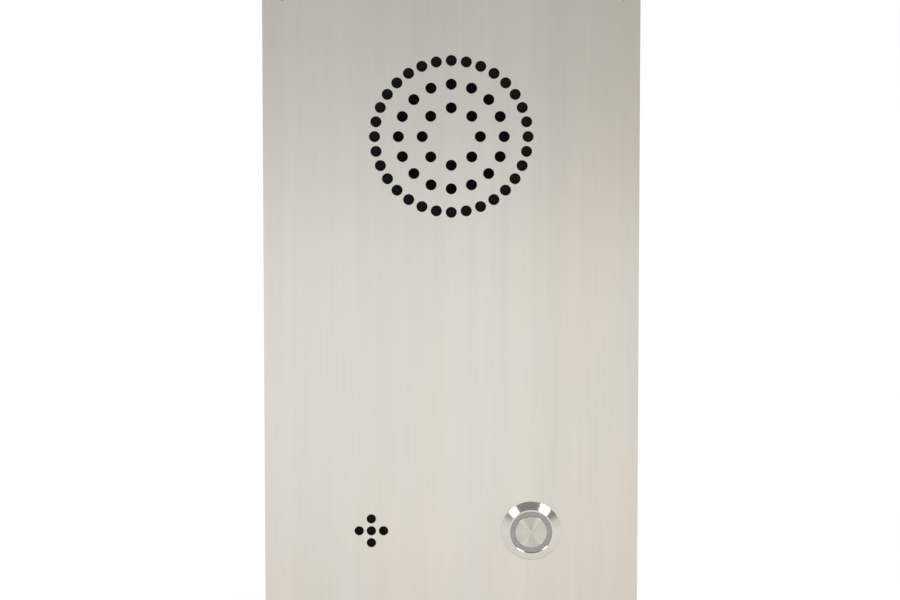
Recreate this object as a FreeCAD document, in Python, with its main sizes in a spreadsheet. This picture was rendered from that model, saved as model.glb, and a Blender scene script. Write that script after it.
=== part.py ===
import FreeCAD, Part

# Flush-mounted intercom phone: a steel panel that carries a speaker, a microphone, a call button and a board.
# X runs to the right, Y from front to rear and Z up. The origin is the centre of the panel's rear face.

import math
import os
import re

import Sketcher
from FreeCAD import Placement, Rotation, Vector

# Driving dimensions in millimetres and degrees, by the piece that each one sizes
SIZES = {
    # panel
    "plate_width": 137.5,
    "plate_height": 246,
    "plate_thickness": 2,
    "plate_corner_radius": 2,
    "plate_edge_bevel": 0.3,
    "mounting_hole_radius": 2.25,
    "mounting_hole_inset": 7,
    "gasket_thickness": 1.5,
    "gasket_setback": 1,
    "gasket_side_band": 11.75,
    "gasket_end_band": 16,
    "gasket_hole_clearance": 0.25,
    # places of the main units on the panel
    "speaker_height": 63.8,
    "controls_height": -83.5,
    "controls_offset": 29.5,
    "board_height": -23,
    # speaker grille
    "grille_radius": 28,
    "grille_ring_spacing": 8.7,
    "grille_hole_radius": 2,
    "grille_inner_count": 8,
    # speaker
    "mesh_thickness": 0.4,
    "speaker_mesh_radius": 33,
    "speaker_gasket_thickness": 2.4,
    "speaker_radius": 35,
    "basket_opening_radius": 31.2,
    "basket_gauge": 0.8,
    "basket_step": 1.6,
    "surround_ledge_width": 2.2,
    "basket_waist_radius": 17.5,
    "basket_waist_depth": 11.5,
    "spider_ledge_width": 2.5,
    "basket_base_depth": 14.5,
    "basket_bore_radius": 10,
    "basket_window_count": 6,
    "basket_window_angle": 40,
    "basket_window_outer": 27.2,
    "basket_window_inner": 19.4,
    "surround_thickness": 0.5,
    "surround_gap": 0.2,
    "surround_roll_width": 4,
    "surround_roll_height": 1.2,
    "surround_lip": 1.4,
    "cone_thickness": 0.5,
    "cone_depth": 8.2,
    "dust_cap_radius": 9,
    "dust_cap_crown_radius": 5,
    "dust_cap_height": 2.2,
    "dust_cap_thickness": 0.4,
    "voice_coil_radius": 6.7,
    "voice_coil_wall": 0.3,
    "winding_length": 4.5,
    "spider_thickness": 0.4,
    "spider_wave_height": 0.55,
    "magnet_gap": 0.35,
    "front_washer_radius": 16,
    "front_washer_thickness": 3,
    "magnet_radius": 20,
    "magnet_bore_radius": 9.5,
    "magnet_thickness": 7,
    "magnet_bevel": 0.5,
    "yoke_thickness": 3,
    "tag_strip_width": 17,
    "tag_strip_reach": 6.5,
    "tag_strip_overlap": 2.4,
    "tag_strip_thickness": 1.2,
    "tag_spacing": 9,
    "tag_width": 3,
    "tag_length": 7,
    "tag_thickness": 0.5,
    "tag_rivet_radius": 1,
    "clip_thickness": 1.2,
    "clip_width": 10,
    "clip_grip": 2.4,
    "clip_stud_distance": 38.4,
    "clip_heel_distance": 41.6,
    "stud_radius": 1.5,
    "stud_length": 8.4,
    "stud_clearance": 0.1,
    "nut_across_flats": 5.5,
    "nut_height": 2.4,
    # microphone
    "microphone_hole_radius": 1.7,
    "microphone_hole_pitch": 4.5,
    "microphone_mesh_radius": 7.6,
    "boot_flange_radius": 9,
    "boot_flange_thickness": 1.6,
    "boot_radius": 7.2,
    "boot_mouth_radius": 6.2,
    "boot_mouth_depth": 1.8,
    "boot_rear_lip": 1,
    "boot_rear_radius": 3.6,
    "capsule_radius": 4.85,
    "capsule_length": 6.5,
    "capsule_rim": 0.5,
    "capsule_port_radius": 1.2,
    "capsule_recess": 0.4,
    "bracket_thickness": 1,
    "bracket_width": 11,
    "bracket_clearance": 0.5,
    "bracket_foot_length": 9,
    "bracket_bend_radius": 0.8,
    # call button
    "button_head_radius": 11,
    "button_head_height": 2.5,
    "button_rim_height": 0.4,
    "button_lip_radius": 8.35,
    "button_bore_radius": 7.7,
    "button_running_clearance": 0.08,
    "button_guide_depth": 1.5,
    "button_cavity_radius": 8.4,
    "button_barrel_radius": 9.45,
    "button_barrel_length": 20,
    "panel_hole_clearance": 0.15,
    "button_travel": 2.5,
    "light_ring_recess": 0.15,
    "light_ring_inner_radius": 5.95,
    "plunger_flange_radius": 8.1,
    "plunger_flange_thickness": 1.2,
    "plunger_stop_gap": 0.1,
    "cap_thickness": 1.2,
    "cap_edge_chamfer": 0.12,
    "cap_clearance": 0.05,
    "plunger_collar_radius": 7.2,
    "plunger_collar_thickness": 0.8,
    "plunger_stem_radius": 2.6,
    "spring_mean_radius": 4.2,
    "spring_wire_radius": 0.25,
    "spring_seat_gap": 0.05,
    "spring_length": 5.4,
    "spring_turns": 4,
    "lamp_board_thickness": 1,
    "lamp_board_inner_radius": 5.2,
    "lamp_count": 4,
    "lamp_width": 1.2,
    "lamp_length": 1.6,
    "lamp_height": 0.6,
    "contact_block_gap": 0.1,
    "contact_guide_length": 4,
    "contact_cavity_radius": 6.4,
    "bridge_setback": 1.2,
    "bridge_thickness": 0.4,
    "bridge_length": 10,
    "bridge_width": 2.6,
    "contact_rivet_radius": 0.9,
    "contact_rivet_height": 0.3,
    "contact_gap": 0.1,
    "contact_plug_depth": 1,
    "contact_base_flange": 2.2,
    "contact_base_height": 2.4,
    "contact_base_radius": 7.8,
    "pin_width": 2,
    "pin_thickness": 0.6,
    "pin_tail": 5.5,
    "contact_pin_offset": 3.8,
    "lamp_pin_offset": 7.3,
    "seal_thickness": 0.5,
    "seal_width": 0.7,
    "lock_washer_radius": 11.6,
    "lock_washer_thickness": 0.8,
    "button_nut_across_flats": 22,
    "button_nut_height": 3,
    "button_thread_clearance": 0.05,
    # board and what stands on it
    "board_width": 100,
    "board_length": 84,
    "board_thickness": 1.6,
    "board_corner_radius": 2,
    "board_hole_inset": 4,
    "standoff_across_flats": 5.5,
    "standoff_height": 10,
    "standoff_bore_depth": 6,
    "screw_clearance": 0.05,
    "screw_shank_length": 6.4,
    "screw_head_radius": 2.8,
    "screw_head_height": 1.9,
    "screw_slot_width": 0.8,
    "terminal_pitch": 5.08,
    "terminal_count": 5,
    "terminal_depth": 8.2,
    "terminal_height": 10.4,
    "terminal_bevel": 2.6,
    "terminal_from_bottom": 5.5,
    "terminal_entry_width": 3.4,
    "terminal_entry_height": 3.2,
    "terminal_entry_floor": 1.6,
    "terminal_entry_depth": 5,
    "terminal_well_radius": 2,
    "terminal_well_depth": 4.2,
    "terminal_screw_radius": 1.75,
    "terminal_screw_height": 1.6,
    "header_width": 10.2,
    "header_depth": 5.8,
    "header_height": 7,
    "header_wall": 0.8,
    "header_floor": 1.4,
    "header_offset": 32,
    "header_from_edge": 4.5,
    "plug_height": 6.4,
    "plug_clearance": 0.1,
    "transformer_width": 24,
    "transformer_stack": 8,
    "transformer_height": 15,
    "transformer_leg": 4,
    "transformer_base_gap": 1,
    "transformer_rail_gap": 0.3,
    "transformer_from_right": 20,
    "transformer_from_top": 14,
    "relay_length": 20,
    "relay_width": 10,
    "relay_height": 10.6,
    "relay_bevel": 0.4,
    "relay_from_right": 18,
    "relay_from_top": 34,
    "large_capacitor_radius": 5,
    "large_capacitor_height": 16,
    "large_capacitor_spacing": 12,
    "large_capacitor_from_left": 11,
    "large_capacitor_from_top": 16,
    "small_capacitor_radius": 3.15,
    "small_capacitor_height": 11,
    "small_capacitor_spacing": 8.5,
    "small_capacitor_from_left": 36,
    "small_capacitor_from_top": 18,
    "capacitor_bevel": 0.4,
    "film_capacitor_length": 18,
    "film_capacitor_width": 7,
    "film_capacitor_height": 12,
    "film_capacitor_bevel": 0.5,
    "film_capacitor_from_right": 17,
    "film_capacitor_from_top": 48,
    "rectifier_length": 8.5,
    "rectifier_width": 6.4,
    "rectifier_height": 3.2,
    "rectifier_from_right": 12,
    "rectifier_from_bottom": 21,
    "processor_side": 12,
    "processor_height": 1.6,
    "processor_x": 0,
    "processor_y": -6,
    "audio_chip_length": 17.9,
    "audio_chip_width": 7.5,
    "audio_chip_height": 2.4,
    "audio_chip_spacing": 14,
    "audio_chip_from_left": 28,
    "audio_chip_from_top": 36,
    "trimmer_side": 6.6,
    "trimmer_height": 4.2,
    "trimmer_spacing": 12,
    "trimmer_from_left": 8,
    "trimmer_from_bottom": 17,
    "rotor_radius": 2.2,
    "rotor_depth": 1.6,
    "rotor_rise": 0.4,
    "rotor_slot_width": 0.7,
    "rotor_slot_depth": 0.7,
    "rotor_clearance": 0.08,
    # earth connection
    "earth_stud_radius": 2,
    "earth_stud_length": 10,
    "earth_nut_across_flats": 7,
    "earth_nut_height": 3.2,
    "earth_lug_radius": 3.6,
    "earth_lug_thickness": 0.8,
    "earth_barrel_length": 4.5,
    "earth_barrel_radius": 1.3,
    "earth_from_left": 20,
    "earth_from_top": 84,
    # leads
    "lead_radius": 0.65,
    "lead_clearance": 0.05,
    "lead_spacing": 1.3,
    "button_lead_spacing": 2.1,
    "speaker_lead_loop": 31,
    "microphone_lead_loop": 31,
    "button_lead_loop": 38,
    "earth_lead_loop": 23,
    "earth_lead_grip": 3,
    "earth_lead_over_board": 4,
    "earth_pad_from_left": 12,
    "earth_pad_from_top": 5,
}

# Flats that stand for a round where many small ones repeat
GRILLE_HOLE_SIDES = 16
SMALL_ROUND_SIDES = 12
WIRE_SIDES = 6

CORNERS = ((-1, -1), (1, -1), (1, 1), (-1, 1))
GRILLE_RINGS = 3
MICROPHONE_CROSS_ARMS = 4
SPIDER_WAVES = 2
ROLL_CREST_SHARE = 0.45
ARC_SHARE = 0.45
TOUCH = 1e-6
# How a sketch names its own origin
ORIGIN_POINT = (-1, 1)

document = FreeCAD.newDocument("intercom_phone")
sheet = document.addObject("Spreadsheet::Sheet", "sizes")
for row, (size_name, size) in enumerate(SIZES.items(), 1):
    sheet.set(f"A{row}", size_name)
    sheet.set(f"B{row}", str(size))
    sheet.setAlias(f"B{row}", size_name)
document.recompute()

pieces = []


def linked(expression):
    """The expression with each size written as a reference to its cell."""

    def cell(match):
        word = match.group(0)
        return f"sizes.{word}" if word in SIZES else word

    return re.sub(r"[a-z]\w*", cell, str(expression))


def number(expression):
    """What an expression comes to with the sheet's present sizes."""
    return float(sheet.evalExpression(linked(expression).replace("sizes.", "")))


def bind(item, **expressions):
    """Ties an object's properties to sheet expressions."""
    for name, expression in expressions.items():
        item.setExpression(name, linked(expression))


def place(item, x=0, y=0, z=0):
    """Ties an object's position to sheet expressions."""
    for axis, expression in zip("xyz", (x, y, z)):
        item.setExpression(f"Placement.Base.{axis}", linked(expression))


def new_body(name, x=0, y=0, z=0):
    """A sub-part of its own, with its local origin at a point on the panel."""
    body = document.addObject("PartDesign::Body", name)
    body.Label = name
    place(body, x, y, z)
    pieces.append(body)
    return body


def origin_part(body, role):
    return next(part for part in body.Origin.OriginFeatures if part.Role == role)


def new_sketch(body, plane="XZ_Plane", depth=0, x=0, y=0):
    """A sketch on one of the body's planes. Depth moves it to the rear on XZ_Plane, up on XY_Plane
    and right on YZ_Plane; x and y move its own origin within the plane."""
    sketch = body.newObject("Sketcher::SketchObject", f"{body.Name}_sketch")
    sketch.AttachmentSupport = [(origin_part(body, plane), "")]
    sketch.MapMode = "FlatFace"
    normal = f"-({depth})" if plane == "XZ_Plane" else depth
    for axis, expression in zip("xyz", (x, y, normal)):
        sketch.setExpression(f"AttachmentOffset.Base.{axis}", linked(expression))
    return sketch


def add_dimensions(sketch, dimensions):
    """Adds dimensions, each (kind, where, size), and ties them to sheet expressions."""
    constraints = [Sketcher.Constraint(kind, *where, number(size)) for kind, where, size in dimensions]
    indices = sketch.addConstraint(constraints)
    for index, (kind, where, size) in zip(indices, dimensions):
        if re.search("[a-z]", str(size)):
            sketch.setExpression(f"Constraints[{index}]", linked(size))


def arc_between(start, end, radius, centre_on_left):
    """The short arc from start to end whose centre lies to the left or right of that way."""
    chord = end - start
    middle = (start + end) * 0.5
    normal = Vector(-chord.y, chord.x, 0).normalize()
    rise = math.sqrt(max(radius**2 - (chord.Length / 2) ** 2, 0))
    side = 1 if centre_on_left else -1
    centre = middle + normal * rise * side
    through = centre - normal * radius * side
    return Part.Arc(start, through, end)


def outline(sketch, corners):
    """Draws a closed outline. A corner is (x, y), or (x, y, radius, side) where the edge that
    leaves it is an arc of that radius whose centre lies on that side, "left" or "right"."""
    points = [Vector(number(corner[0]), number(corner[1]), 0) for corner in corners]
    edges = []
    for index, corner in enumerate(corners):
        start = points[index]
        end = points[(index + 1) % len(corners)]
        if len(corner) == 2:
            edges.append(sketch.addGeometry(Part.LineSegment(start, end)))
            continue
        arc = arc_between(start, end, number(corner[2]), corner[3] == "left")
        edges.append(sketch.addGeometry(arc))
    ends = []
    for index, corner in enumerate(corners):
        start = points[index]
        begins = (sketch.getPoint(edges[index], 1) - start).Length
        finishes = (sketch.getPoint(edges[index], 2) - start).Length
        ends.append((1, 2) if begins <= finishes else (2, 1))
    joints = []
    dimensions = []
    for index, corner in enumerate(corners):
        end_before = (edges[index - 1], ends[index - 1][1])
        here = (edges[index], ends[index][0])
        joints.append(Sketcher.Constraint("Coincident", *end_before, *here))
        dimensions.append(("DistanceX", (*ORIGIN_POINT, *here), corner[0]))
        dimensions.append(("DistanceY", (*ORIGIN_POINT, *here), corner[1]))
        if len(corner) > 2:
            dimensions.append(("Radius", (edges[index],), corner[2]))
    sketch.addConstraint(joints)
    add_dimensions(sketch, dimensions)


def circle(sketch, x, y, radius):
    """Draws a circle, its centre and radius tied to sheet expressions."""
    centre = Vector(number(x), number(y), 0)
    edge = sketch.addGeometry(Part.Circle(centre, Vector(0, 0, 1), number(radius)))
    middle = (edge, 3)
    dimensions = [
        ("DistanceX", (*ORIGIN_POINT, *middle), x),
        ("DistanceY", (*ORIGIN_POINT, *middle), y),
        ("Radius", (edge,), radius),
    ]
    add_dimensions(sketch, dimensions)


def rectangle(sketch, width, height, x=0, y=0):
    """Draws a rectangle about a centre."""
    outline(
        sketch,
        [
            (f"{x} - ({width}) / 2", f"{y} - ({height}) / 2"),
            (f"{x} + ({width}) / 2", f"{y} - ({height}) / 2"),
            (f"{x} + ({width}) / 2", f"{y} + ({height}) / 2"),
            (f"{x} - ({width}) / 2", f"{y} + ({height}) / 2"),
        ],
    )


def polygon(sketch, sides, radius, x=0, y=0):
    """Draws a regular polygon about a centre, its flats at the radius."""
    turn_by = 360 / sides
    corner = f"({radius}) / cos({turn_by / 2})"
    corners = []
    for step in range(sides):
        angle = turn_by * (step + 0.5)
        corners.append((f"{x} + {corner} * cos({angle})", f"{y} + {corner} * sin({angle})"))
    outline(sketch, corners)


def hexagon(sketch, across_flats, x=0, y=0):
    polygon(sketch, 6, f"({across_flats}) / 2", x, y)


def small_round(sketch, radius, x=0, y=0):
    """Draws the outline of a small fastener or of the hole for it."""
    polygon(sketch, SMALL_ROUND_SIDES, radius, x, y)


def pad(body, sketch, length, both_ways=False):
    """Extrudes a sketch on XZ_Plane to the rear, or any sketch half of the length each way."""
    feature = body.newObject("PartDesign::Pad", f"{body.Name}_pad")
    feature.Profile = sketch
    bind(feature, Length=length)
    if both_ways:
        feature.SideType = "Symmetric"
    else:
        feature.Reversed = True
    return feature


def pocket(body, sketch, depth, to_front=False):
    """Cuts a sketch on XZ_Plane to the rear, or to the front. On XY_Plane these are down and up."""
    feature = body.newObject("PartDesign::Pocket", f"{body.Name}_pocket")
    feature.Profile = sketch
    bind(feature, Length=depth)
    feature.Reversed = to_front
    return feature


def turn(body, corners):
    """Turns an outline of (radius, depth) corners about the body's front-to-rear axis."""
    sketch = new_sketch(body, "XY_Plane")
    outline(sketch, corners)
    feature = body.newObject("PartDesign::Revolution", f"{body.Name}_turning")
    feature.Profile = sketch
    feature.ReferenceAxis = (sketch, ["V_Axis"])
    feature.Angle = 360
    return feature


def ring_of(body, features, count, about=None):
    """Repeats features evenly round the body's front-to-rear axis, or the normal of a sketch."""
    pattern = body.newObject("PartDesign::PolarPattern", f"{body.Name}_ring")
    pattern.Originals = features
    pattern.Axis = (about, ["N_Axis"]) if about else (origin_part(body, "Y_Axis"), [""])
    pattern.Angle = 360
    bind(pattern, Occurrences=count)
    body.Tip = pattern
    return pattern


def row_of(body, feature, count, spacing, role="X_Axis"):
    """Repeats a feature along one of the body's axes."""
    pattern = body.newObject("PartDesign::LinearPattern", f"{body.Name}_row")
    pattern.Originals = [feature]
    pattern.Direction = (origin_part(body, role), [""])
    bind(pattern, Length=f"({spacing}) * (({count}) - 1)", Occurrences=count)
    body.Tip = pattern
    return pattern


def edges_where(feature, test):
    """Names of the feature's edges whose curve and middle point pass the test."""
    document.recompute()
    names = []
    for index, edge in enumerate(feature.Shape.Edges, 1):
        middle = edge.valueAt((edge.FirstParameter + edge.LastParameter) / 2)
        if test(edge, middle):
            names.append(f"Edge{index}")
    return names


def soften(body, feature, kind, size, test):
    """Fillets or chamfers the edges that pass the test."""
    dressing = body.newObject(f"PartDesign::{kind}", f"{body.Name}_{kind.lower()}")
    dressing.Base = (feature, edges_where(feature, test))
    if kind == "Fillet":
        bind(dressing, Radius=size)
    else:
        bind(dressing, Size=size)
    return dressing


def runs_along(edge, axis):
    """Whether a straight edge lies along an axis: 0 for X, 1 for Y, 2 for Z."""
    if not isinstance(edge.Curve, Part.Line):
        return False
    return abs(edge.Curve.Direction[axis]) > 0.999


# Panel

HOLE_X = "(plate_width / 2 - mounting_hole_inset)"
HOLE_Z = "(plate_height / 2 - mounting_hole_inset)"


def mounting_circles(sketch, radius):
    """Draws a circle about each of the four mounting holes."""
    for side, end in CORNERS:
        circle(sketch, f"{side} * {HOLE_X}", f"{end} * {HOLE_Z}", radius)


def make_face_plate():
    plate = new_body("face_plate")
    front = "-plate_thickness"
    sketch = new_sketch(plate, depth=front)
    rectangle(sketch, "plate_width", "plate_height")
    slab = pad(plate, sketch, "plate_thickness")
    rounded = soften(plate, slab, "Fillet", "plate_corner_radius", lambda edge, middle: runs_along(edge, 1))
    soften(
        plate,
        rounded,
        "Chamfer",
        "plate_edge_bevel",
        lambda edge, middle: abs(middle.y - number(front)) < TOUCH,
    )

    sketch = new_sketch(plate, depth=front)
    mounting_circles(sketch, "mounting_hole_radius")
    circle(sketch, "controls_offset", "controls_height", PANEL_HOLE)
    pocket(plate, sketch, "plate_thickness")

    centre = new_sketch(plate, depth=front, x="-controls_offset", y="controls_height")
    polygon(centre, GRILLE_HOLE_SIDES, "microphone_hole_radius")
    pocket(plate, centre, "plate_thickness")
    arm = new_sketch(plate, depth=front, x="-controls_offset", y="controls_height")
    polygon(arm, GRILLE_HOLE_SIDES, "microphone_hole_radius", "microphone_hole_pitch")
    ring_of(plate, [pocket(plate, arm, "plate_thickness")], MICROPHONE_CROSS_ARMS, about=arm)

    for ring in range(GRILLE_RINGS):
        sketch = new_sketch(plate, depth=front, y="speaker_height")
        x = f"grille_radius - {GRILLE_RINGS - 1 - ring} * grille_ring_spacing"
        polygon(sketch, GRILLE_HOLE_SIDES, "grille_hole_radius", x)
        first = pocket(plate, sketch, "plate_thickness")
        ring_of(plate, [first], f"grille_inner_count * {2**ring}", about=sketch)


def make_panel_gasket():
    gasket = new_body("panel_gasket")
    sketch = new_sketch(gasket)
    width = "plate_width - 2 * gasket_setback"
    height = "plate_height - 2 * gasket_setback"
    rectangle(sketch, width, height)
    rectangle(sketch, f"{width} - 2 * gasket_side_band", f"{height} - 2 * gasket_end_band")
    mounting_circles(sketch, "mounting_hole_radius + gasket_hole_clearance")
    pad(gasket, sketch, "gasket_thickness")


def make_weld_studs():
    """Threaded studs on the panel's rear face, for the speaker clips and the microphone bracket."""
    studs = new_body("weld_studs")
    for x, y in speaker_stud_places() + microphone_stud_places():
        sketch = new_sketch(studs, x=x, y=y)
        small_round(sketch, "stud_radius")
        pad(studs, sketch, "stud_length")


def speaker_stud_places():
    diagonal = "clip_stud_distance * cos(45)"
    return [(f"{side} * {diagonal}", f"speaker_height + {end} * {diagonal}") for side, end in CORNERS]


def microphone_stud_places():
    return [(f"-controls_offset + {side} * {FOOT_HOLE}", "controls_height") for side in (-1, 1)]


def make_stud_nuts():
    nuts = new_body("stud_nuts")
    seats = ((speaker_stud_places(), CLIP_TOP), (microphone_stud_places(), "bracket_thickness"))
    for places, depth in seats:
        for x, y in places:
            sketch = new_sketch(nuts, depth=depth, x=x, y=y)
            hexagon(sketch, "nut_across_flats")
            small_round(sketch, "stud_radius")
            pad(nuts, sketch, "nut_height")


# Speaker, turned about its own axis with its flange face at depth nought

FLANGE = "(mesh_thickness + speaker_gasket_thickness)"
CLIP_TOP = f"({FLANGE} + basket_gauge + clip_thickness)"
LEDGE = "(basket_opening_radius - surround_ledge_width)"
SPIDER_LEDGE = "(basket_waist_radius - spider_ledge_width)"
BASE = "(basket_base_depth + basket_gauge)"
ROLL = "(basket_opening_radius - surround_ledge_width - surround_roll_width / 2)"
CONE_RIM = f"({ROLL} - surround_roll_width / 2 - surround_gap)"
CONE_EDGE = f"({CONE_RIM} - surround_lip)"
COIL_OUTER = "(voice_coil_radius + voice_coil_wall)"
WINDING = "(voice_coil_radius + 2 * voice_coil_wall)"
GAP_CENTRE = f"({BASE} + front_washer_thickness / 2)"
CONE_NECK = "(basket_step + cone_depth)"


def speaker_body(name):
    return new_body(name, 0, FLANGE, "speaker_height")


def make_speaker_mesh():
    mesh = new_body("speaker_mesh", 0, 0, "speaker_height")
    radius, depth = "speaker_mesh_radius", "mesh_thickness"
    turn(mesh, [(0, 0), (radius, 0), (radius, depth), (0, depth)])


def make_speaker_gasket():
    gasket = new_body("speaker_gasket", 0, "mesh_thickness", "speaker_height")
    inner, outer, depth = "basket_opening_radius", "speaker_radius", "speaker_gasket_thickness"
    turn(gasket, [(inner, 0), (outer, 0), (outer, depth), (inner, depth)])


def make_speaker_basket():
    """The pressed steel basket: flange, surround ledge, windowed cone wall, spider ledge and base."""
    basket = speaker_body("speaker_basket")
    gauge = "basket_gauge"
    front = [
        ("speaker_radius", 0),
        ("basket_opening_radius", 0),
        ("basket_opening_radius", "basket_step"),
        (LEDGE, "basket_step"),
        ("basket_waist_radius", "basket_waist_depth"),
        (SPIDER_LEDGE, "basket_waist_depth"),
        (SPIDER_LEDGE, "basket_base_depth"),
        ("basket_bore_radius", "basket_base_depth"),
    ]
    rear = [
        ("basket_bore_radius", BASE),
        (f"{SPIDER_LEDGE} + {gauge}", BASE),
        (f"{SPIDER_LEDGE} + {gauge}", f"basket_waist_depth + {gauge}"),
        (f"basket_waist_radius + {gauge} / 2", f"basket_waist_depth + {gauge}"),
        (f"{LEDGE} + {gauge} / 2", f"basket_step + {gauge}"),
        (f"basket_opening_radius + {gauge}", f"basket_step + {gauge}"),
        (f"basket_opening_radius + {gauge}", gauge),
        ("speaker_radius", gauge),
    ]
    turn(basket, front + rear)
    window = new_sketch(basket, depth=f"basket_step + {gauge}")
    across = "cos(basket_window_angle / 2)"
    up = "sin(basket_window_angle / 2)"
    outer = "basket_window_outer"
    inner = "basket_window_inner"
    outline(
        window,
        [
            (f"{outer} * {across}", f"-{outer} * {up}", outer, "left"),
            (f"{outer} * {across}", f"{outer} * {up}"),
            (f"{inner} * {across}", f"{inner} * {up}", inner, "right"),
            (f"{inner} * {across}", f"-{inner} * {up}"),
        ],
    )
    first = pocket(basket, window, "basket_waist_depth")
    ring_of(basket, [first], "basket_window_count")


def make_speaker_surround():
    """The rubber roll between the basket's ledge and the cone's rim: two slopes and a crest."""
    surround = speaker_body("speaker_surround")
    front = "basket_step - surround_thickness"
    rear = "basket_step"
    outer = "basket_opening_radius - surround_gap"
    roll = []
    crest = ROLL_CREST_SHARE
    for share, rise in ((1, 0), (crest, 1), (-crest, 1), (-1, 0)):
        radius = f"{ROLL} + {share} * surround_roll_width / 2"
        roll.append((radius, f"-{rise} * surround_roll_height"))
    front_face = [(radius, f"{front} {rise}") for radius, rise in roll]
    rear_face = [(radius, f"{rear} {rise}") for radius, rise in roll[::-1]]
    turn(
        surround,
        [(outer, front), *front_face, (CONE_EDGE, front), (CONE_EDGE, rear), *rear_face, (outer, rear)],
    )


def make_speaker_cone():
    cone = speaker_body("speaker_cone")
    turn(
        cone,
        [
            (CONE_RIM, "basket_step"),
            (CONE_EDGE, "basket_step"),
            (COIL_OUTER, CONE_NECK),
            (COIL_OUTER, f"{CONE_NECK} + cone_thickness"),
            (CONE_EDGE, "basket_step + cone_thickness"),
            (CONE_RIM, "basket_step + cone_thickness"),
        ],
    )


def make_speaker_dust_cap():
    """A shallow cap with a flat crown, its rim resting on the cone."""
    cap = speaker_body("speaker_dust_cap")
    along = f"(dust_cap_radius - {COIL_OUTER}) / ({CONE_EDGE} - {COIL_OUTER})"
    rim = f"({CONE_NECK} - cone_depth * {along} - dust_cap_thickness)"
    crown = f"({rim} - dust_cap_height)"
    gauge = "dust_cap_thickness"
    turn(
        cap,
        [
            (0, crown),
            ("dust_cap_crown_radius", crown),
            ("dust_cap_radius", rim),
            ("dust_cap_radius", f"{rim} + {gauge}"),
            ("dust_cap_crown_radius", f"{crown} + {gauge}"),
            (0, f"{crown} + {gauge}"),
        ],
    )


def make_voice_coil():
    """The coil's former with its winding, which hangs in the magnet's gap."""
    coil = speaker_body("voice_coil")
    start = f"{CONE_NECK} - cone_thickness"
    end = f"{GAP_CENTRE} + winding_length / 2"
    turn(
        coil,
        [
            ("voice_coil_radius", start),
            (COIL_OUTER, start),
            (COIL_OUTER, f"{GAP_CENTRE} - winding_length / 2"),
            (WINDING, f"{GAP_CENTRE} - winding_length / 2"),
            (WINDING, end),
            ("voice_coil_radius", end),
        ],
    )


def make_speaker_spider():
    """The corrugated ring that centres the coil, glued to the basket's inner ledge."""
    spider = speaker_body("speaker_spider")
    rim = "(basket_waist_radius - surround_gap)"
    first = SPIDER_LEDGE
    last = f"({COIL_OUTER} + surround_gap)"
    front = []
    rear = []
    rear_face = "basket_waist_depth"
    front_face = "basket_waist_depth - spider_thickness"
    for step in range(2 * SPIDER_WAVES + 1):
        radius = f"{first} - ({first} - {last}) * {step} / {2 * SPIDER_WAVES}"
        lift = "spider_wave_height" if step % 2 else "0"
        front.append((radius, f"{front_face} - {lift}"))
        rear.append((radius, f"{rear_face} - {lift}"))
    corners = [(rim, front_face), *front, (COIL_OUTER, front_face), (COIL_OUTER, rear_face)]
    turn(spider, corners + rear[::-1] + [(rim, rear_face)])


def make_magnet_system():
    """Front washer, ring magnet, and a yoke whose pole stands inside the coil."""
    gap_outer = f"{WINDING} + magnet_gap"
    pole = "voice_coil_radius - magnet_gap"
    washer_end = f"({BASE} + front_washer_thickness)"
    magnet_end = f"({washer_end} + magnet_thickness)"
    yoke_end = f"({magnet_end} + yoke_thickness)"
    washer = speaker_body("speaker_front_washer")
    radius = "front_washer_radius"
    turn(washer, [(gap_outer, BASE), (radius, BASE), (radius, washer_end), (gap_outer, washer_end)])
    magnet = speaker_body("speaker_magnet")
    bevel = "magnet_bevel"
    turn(
        magnet,
        [
            ("magnet_bore_radius", washer_end),
            (f"magnet_radius - {bevel}", washer_end),
            ("magnet_radius", f"{washer_end} + {bevel}"),
            ("magnet_radius", f"{magnet_end} - {bevel}"),
            (f"magnet_radius - {bevel}", magnet_end),
            ("magnet_bore_radius", magnet_end),
        ],
    )
    yoke = speaker_body("speaker_yoke")
    turn(
        yoke,
        [
            (0, BASE),
            (f"{pole} - {bevel}", BASE),
            (pole, f"{BASE} + {bevel}"),
            (pole, magnet_end),
            (radius, magnet_end),
            (radius, f"{yoke_end} - {bevel}"),
            (f"{radius} - {bevel}", yoke_end),
            (0, yoke_end),
        ],
    )


def make_speaker_terminals():
    """The fibre strip on the flange's lower edge, with two solder tags."""
    strip = speaker_body("speaker_terminal_strip")
    sketch = new_sketch(strip, depth="basket_gauge")
    length = "tag_strip_overlap + tag_strip_reach"
    middle = "(-speaker_radius + (tag_strip_overlap - tag_strip_reach) / 2)"
    rectangle(sketch, "tag_strip_width", length, 0, middle)
    pad(strip, sketch, "tag_strip_thickness")

    tags = speaker_body("speaker_solder_tags")
    rivet = "(-speaker_radius - tag_width / 2)"
    sketch = new_sketch(tags, depth="basket_gauge + tag_strip_thickness")
    heads = new_sketch(tags, depth="basket_gauge + tag_strip_thickness + tag_thickness")
    for side in (-1, 1):
        x = f"{side} * tag_spacing / 2"
        top = f"({rivet} + tag_width / 2)"
        rectangle(sketch, "tag_width", "tag_length", x, f"{top} - tag_length / 2")
        small_round(heads, "tag_rivet_radius", x, rivet)
    pad(tags, sketch, "tag_thickness")
    pad(tags, heads, "tag_thickness")


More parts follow.
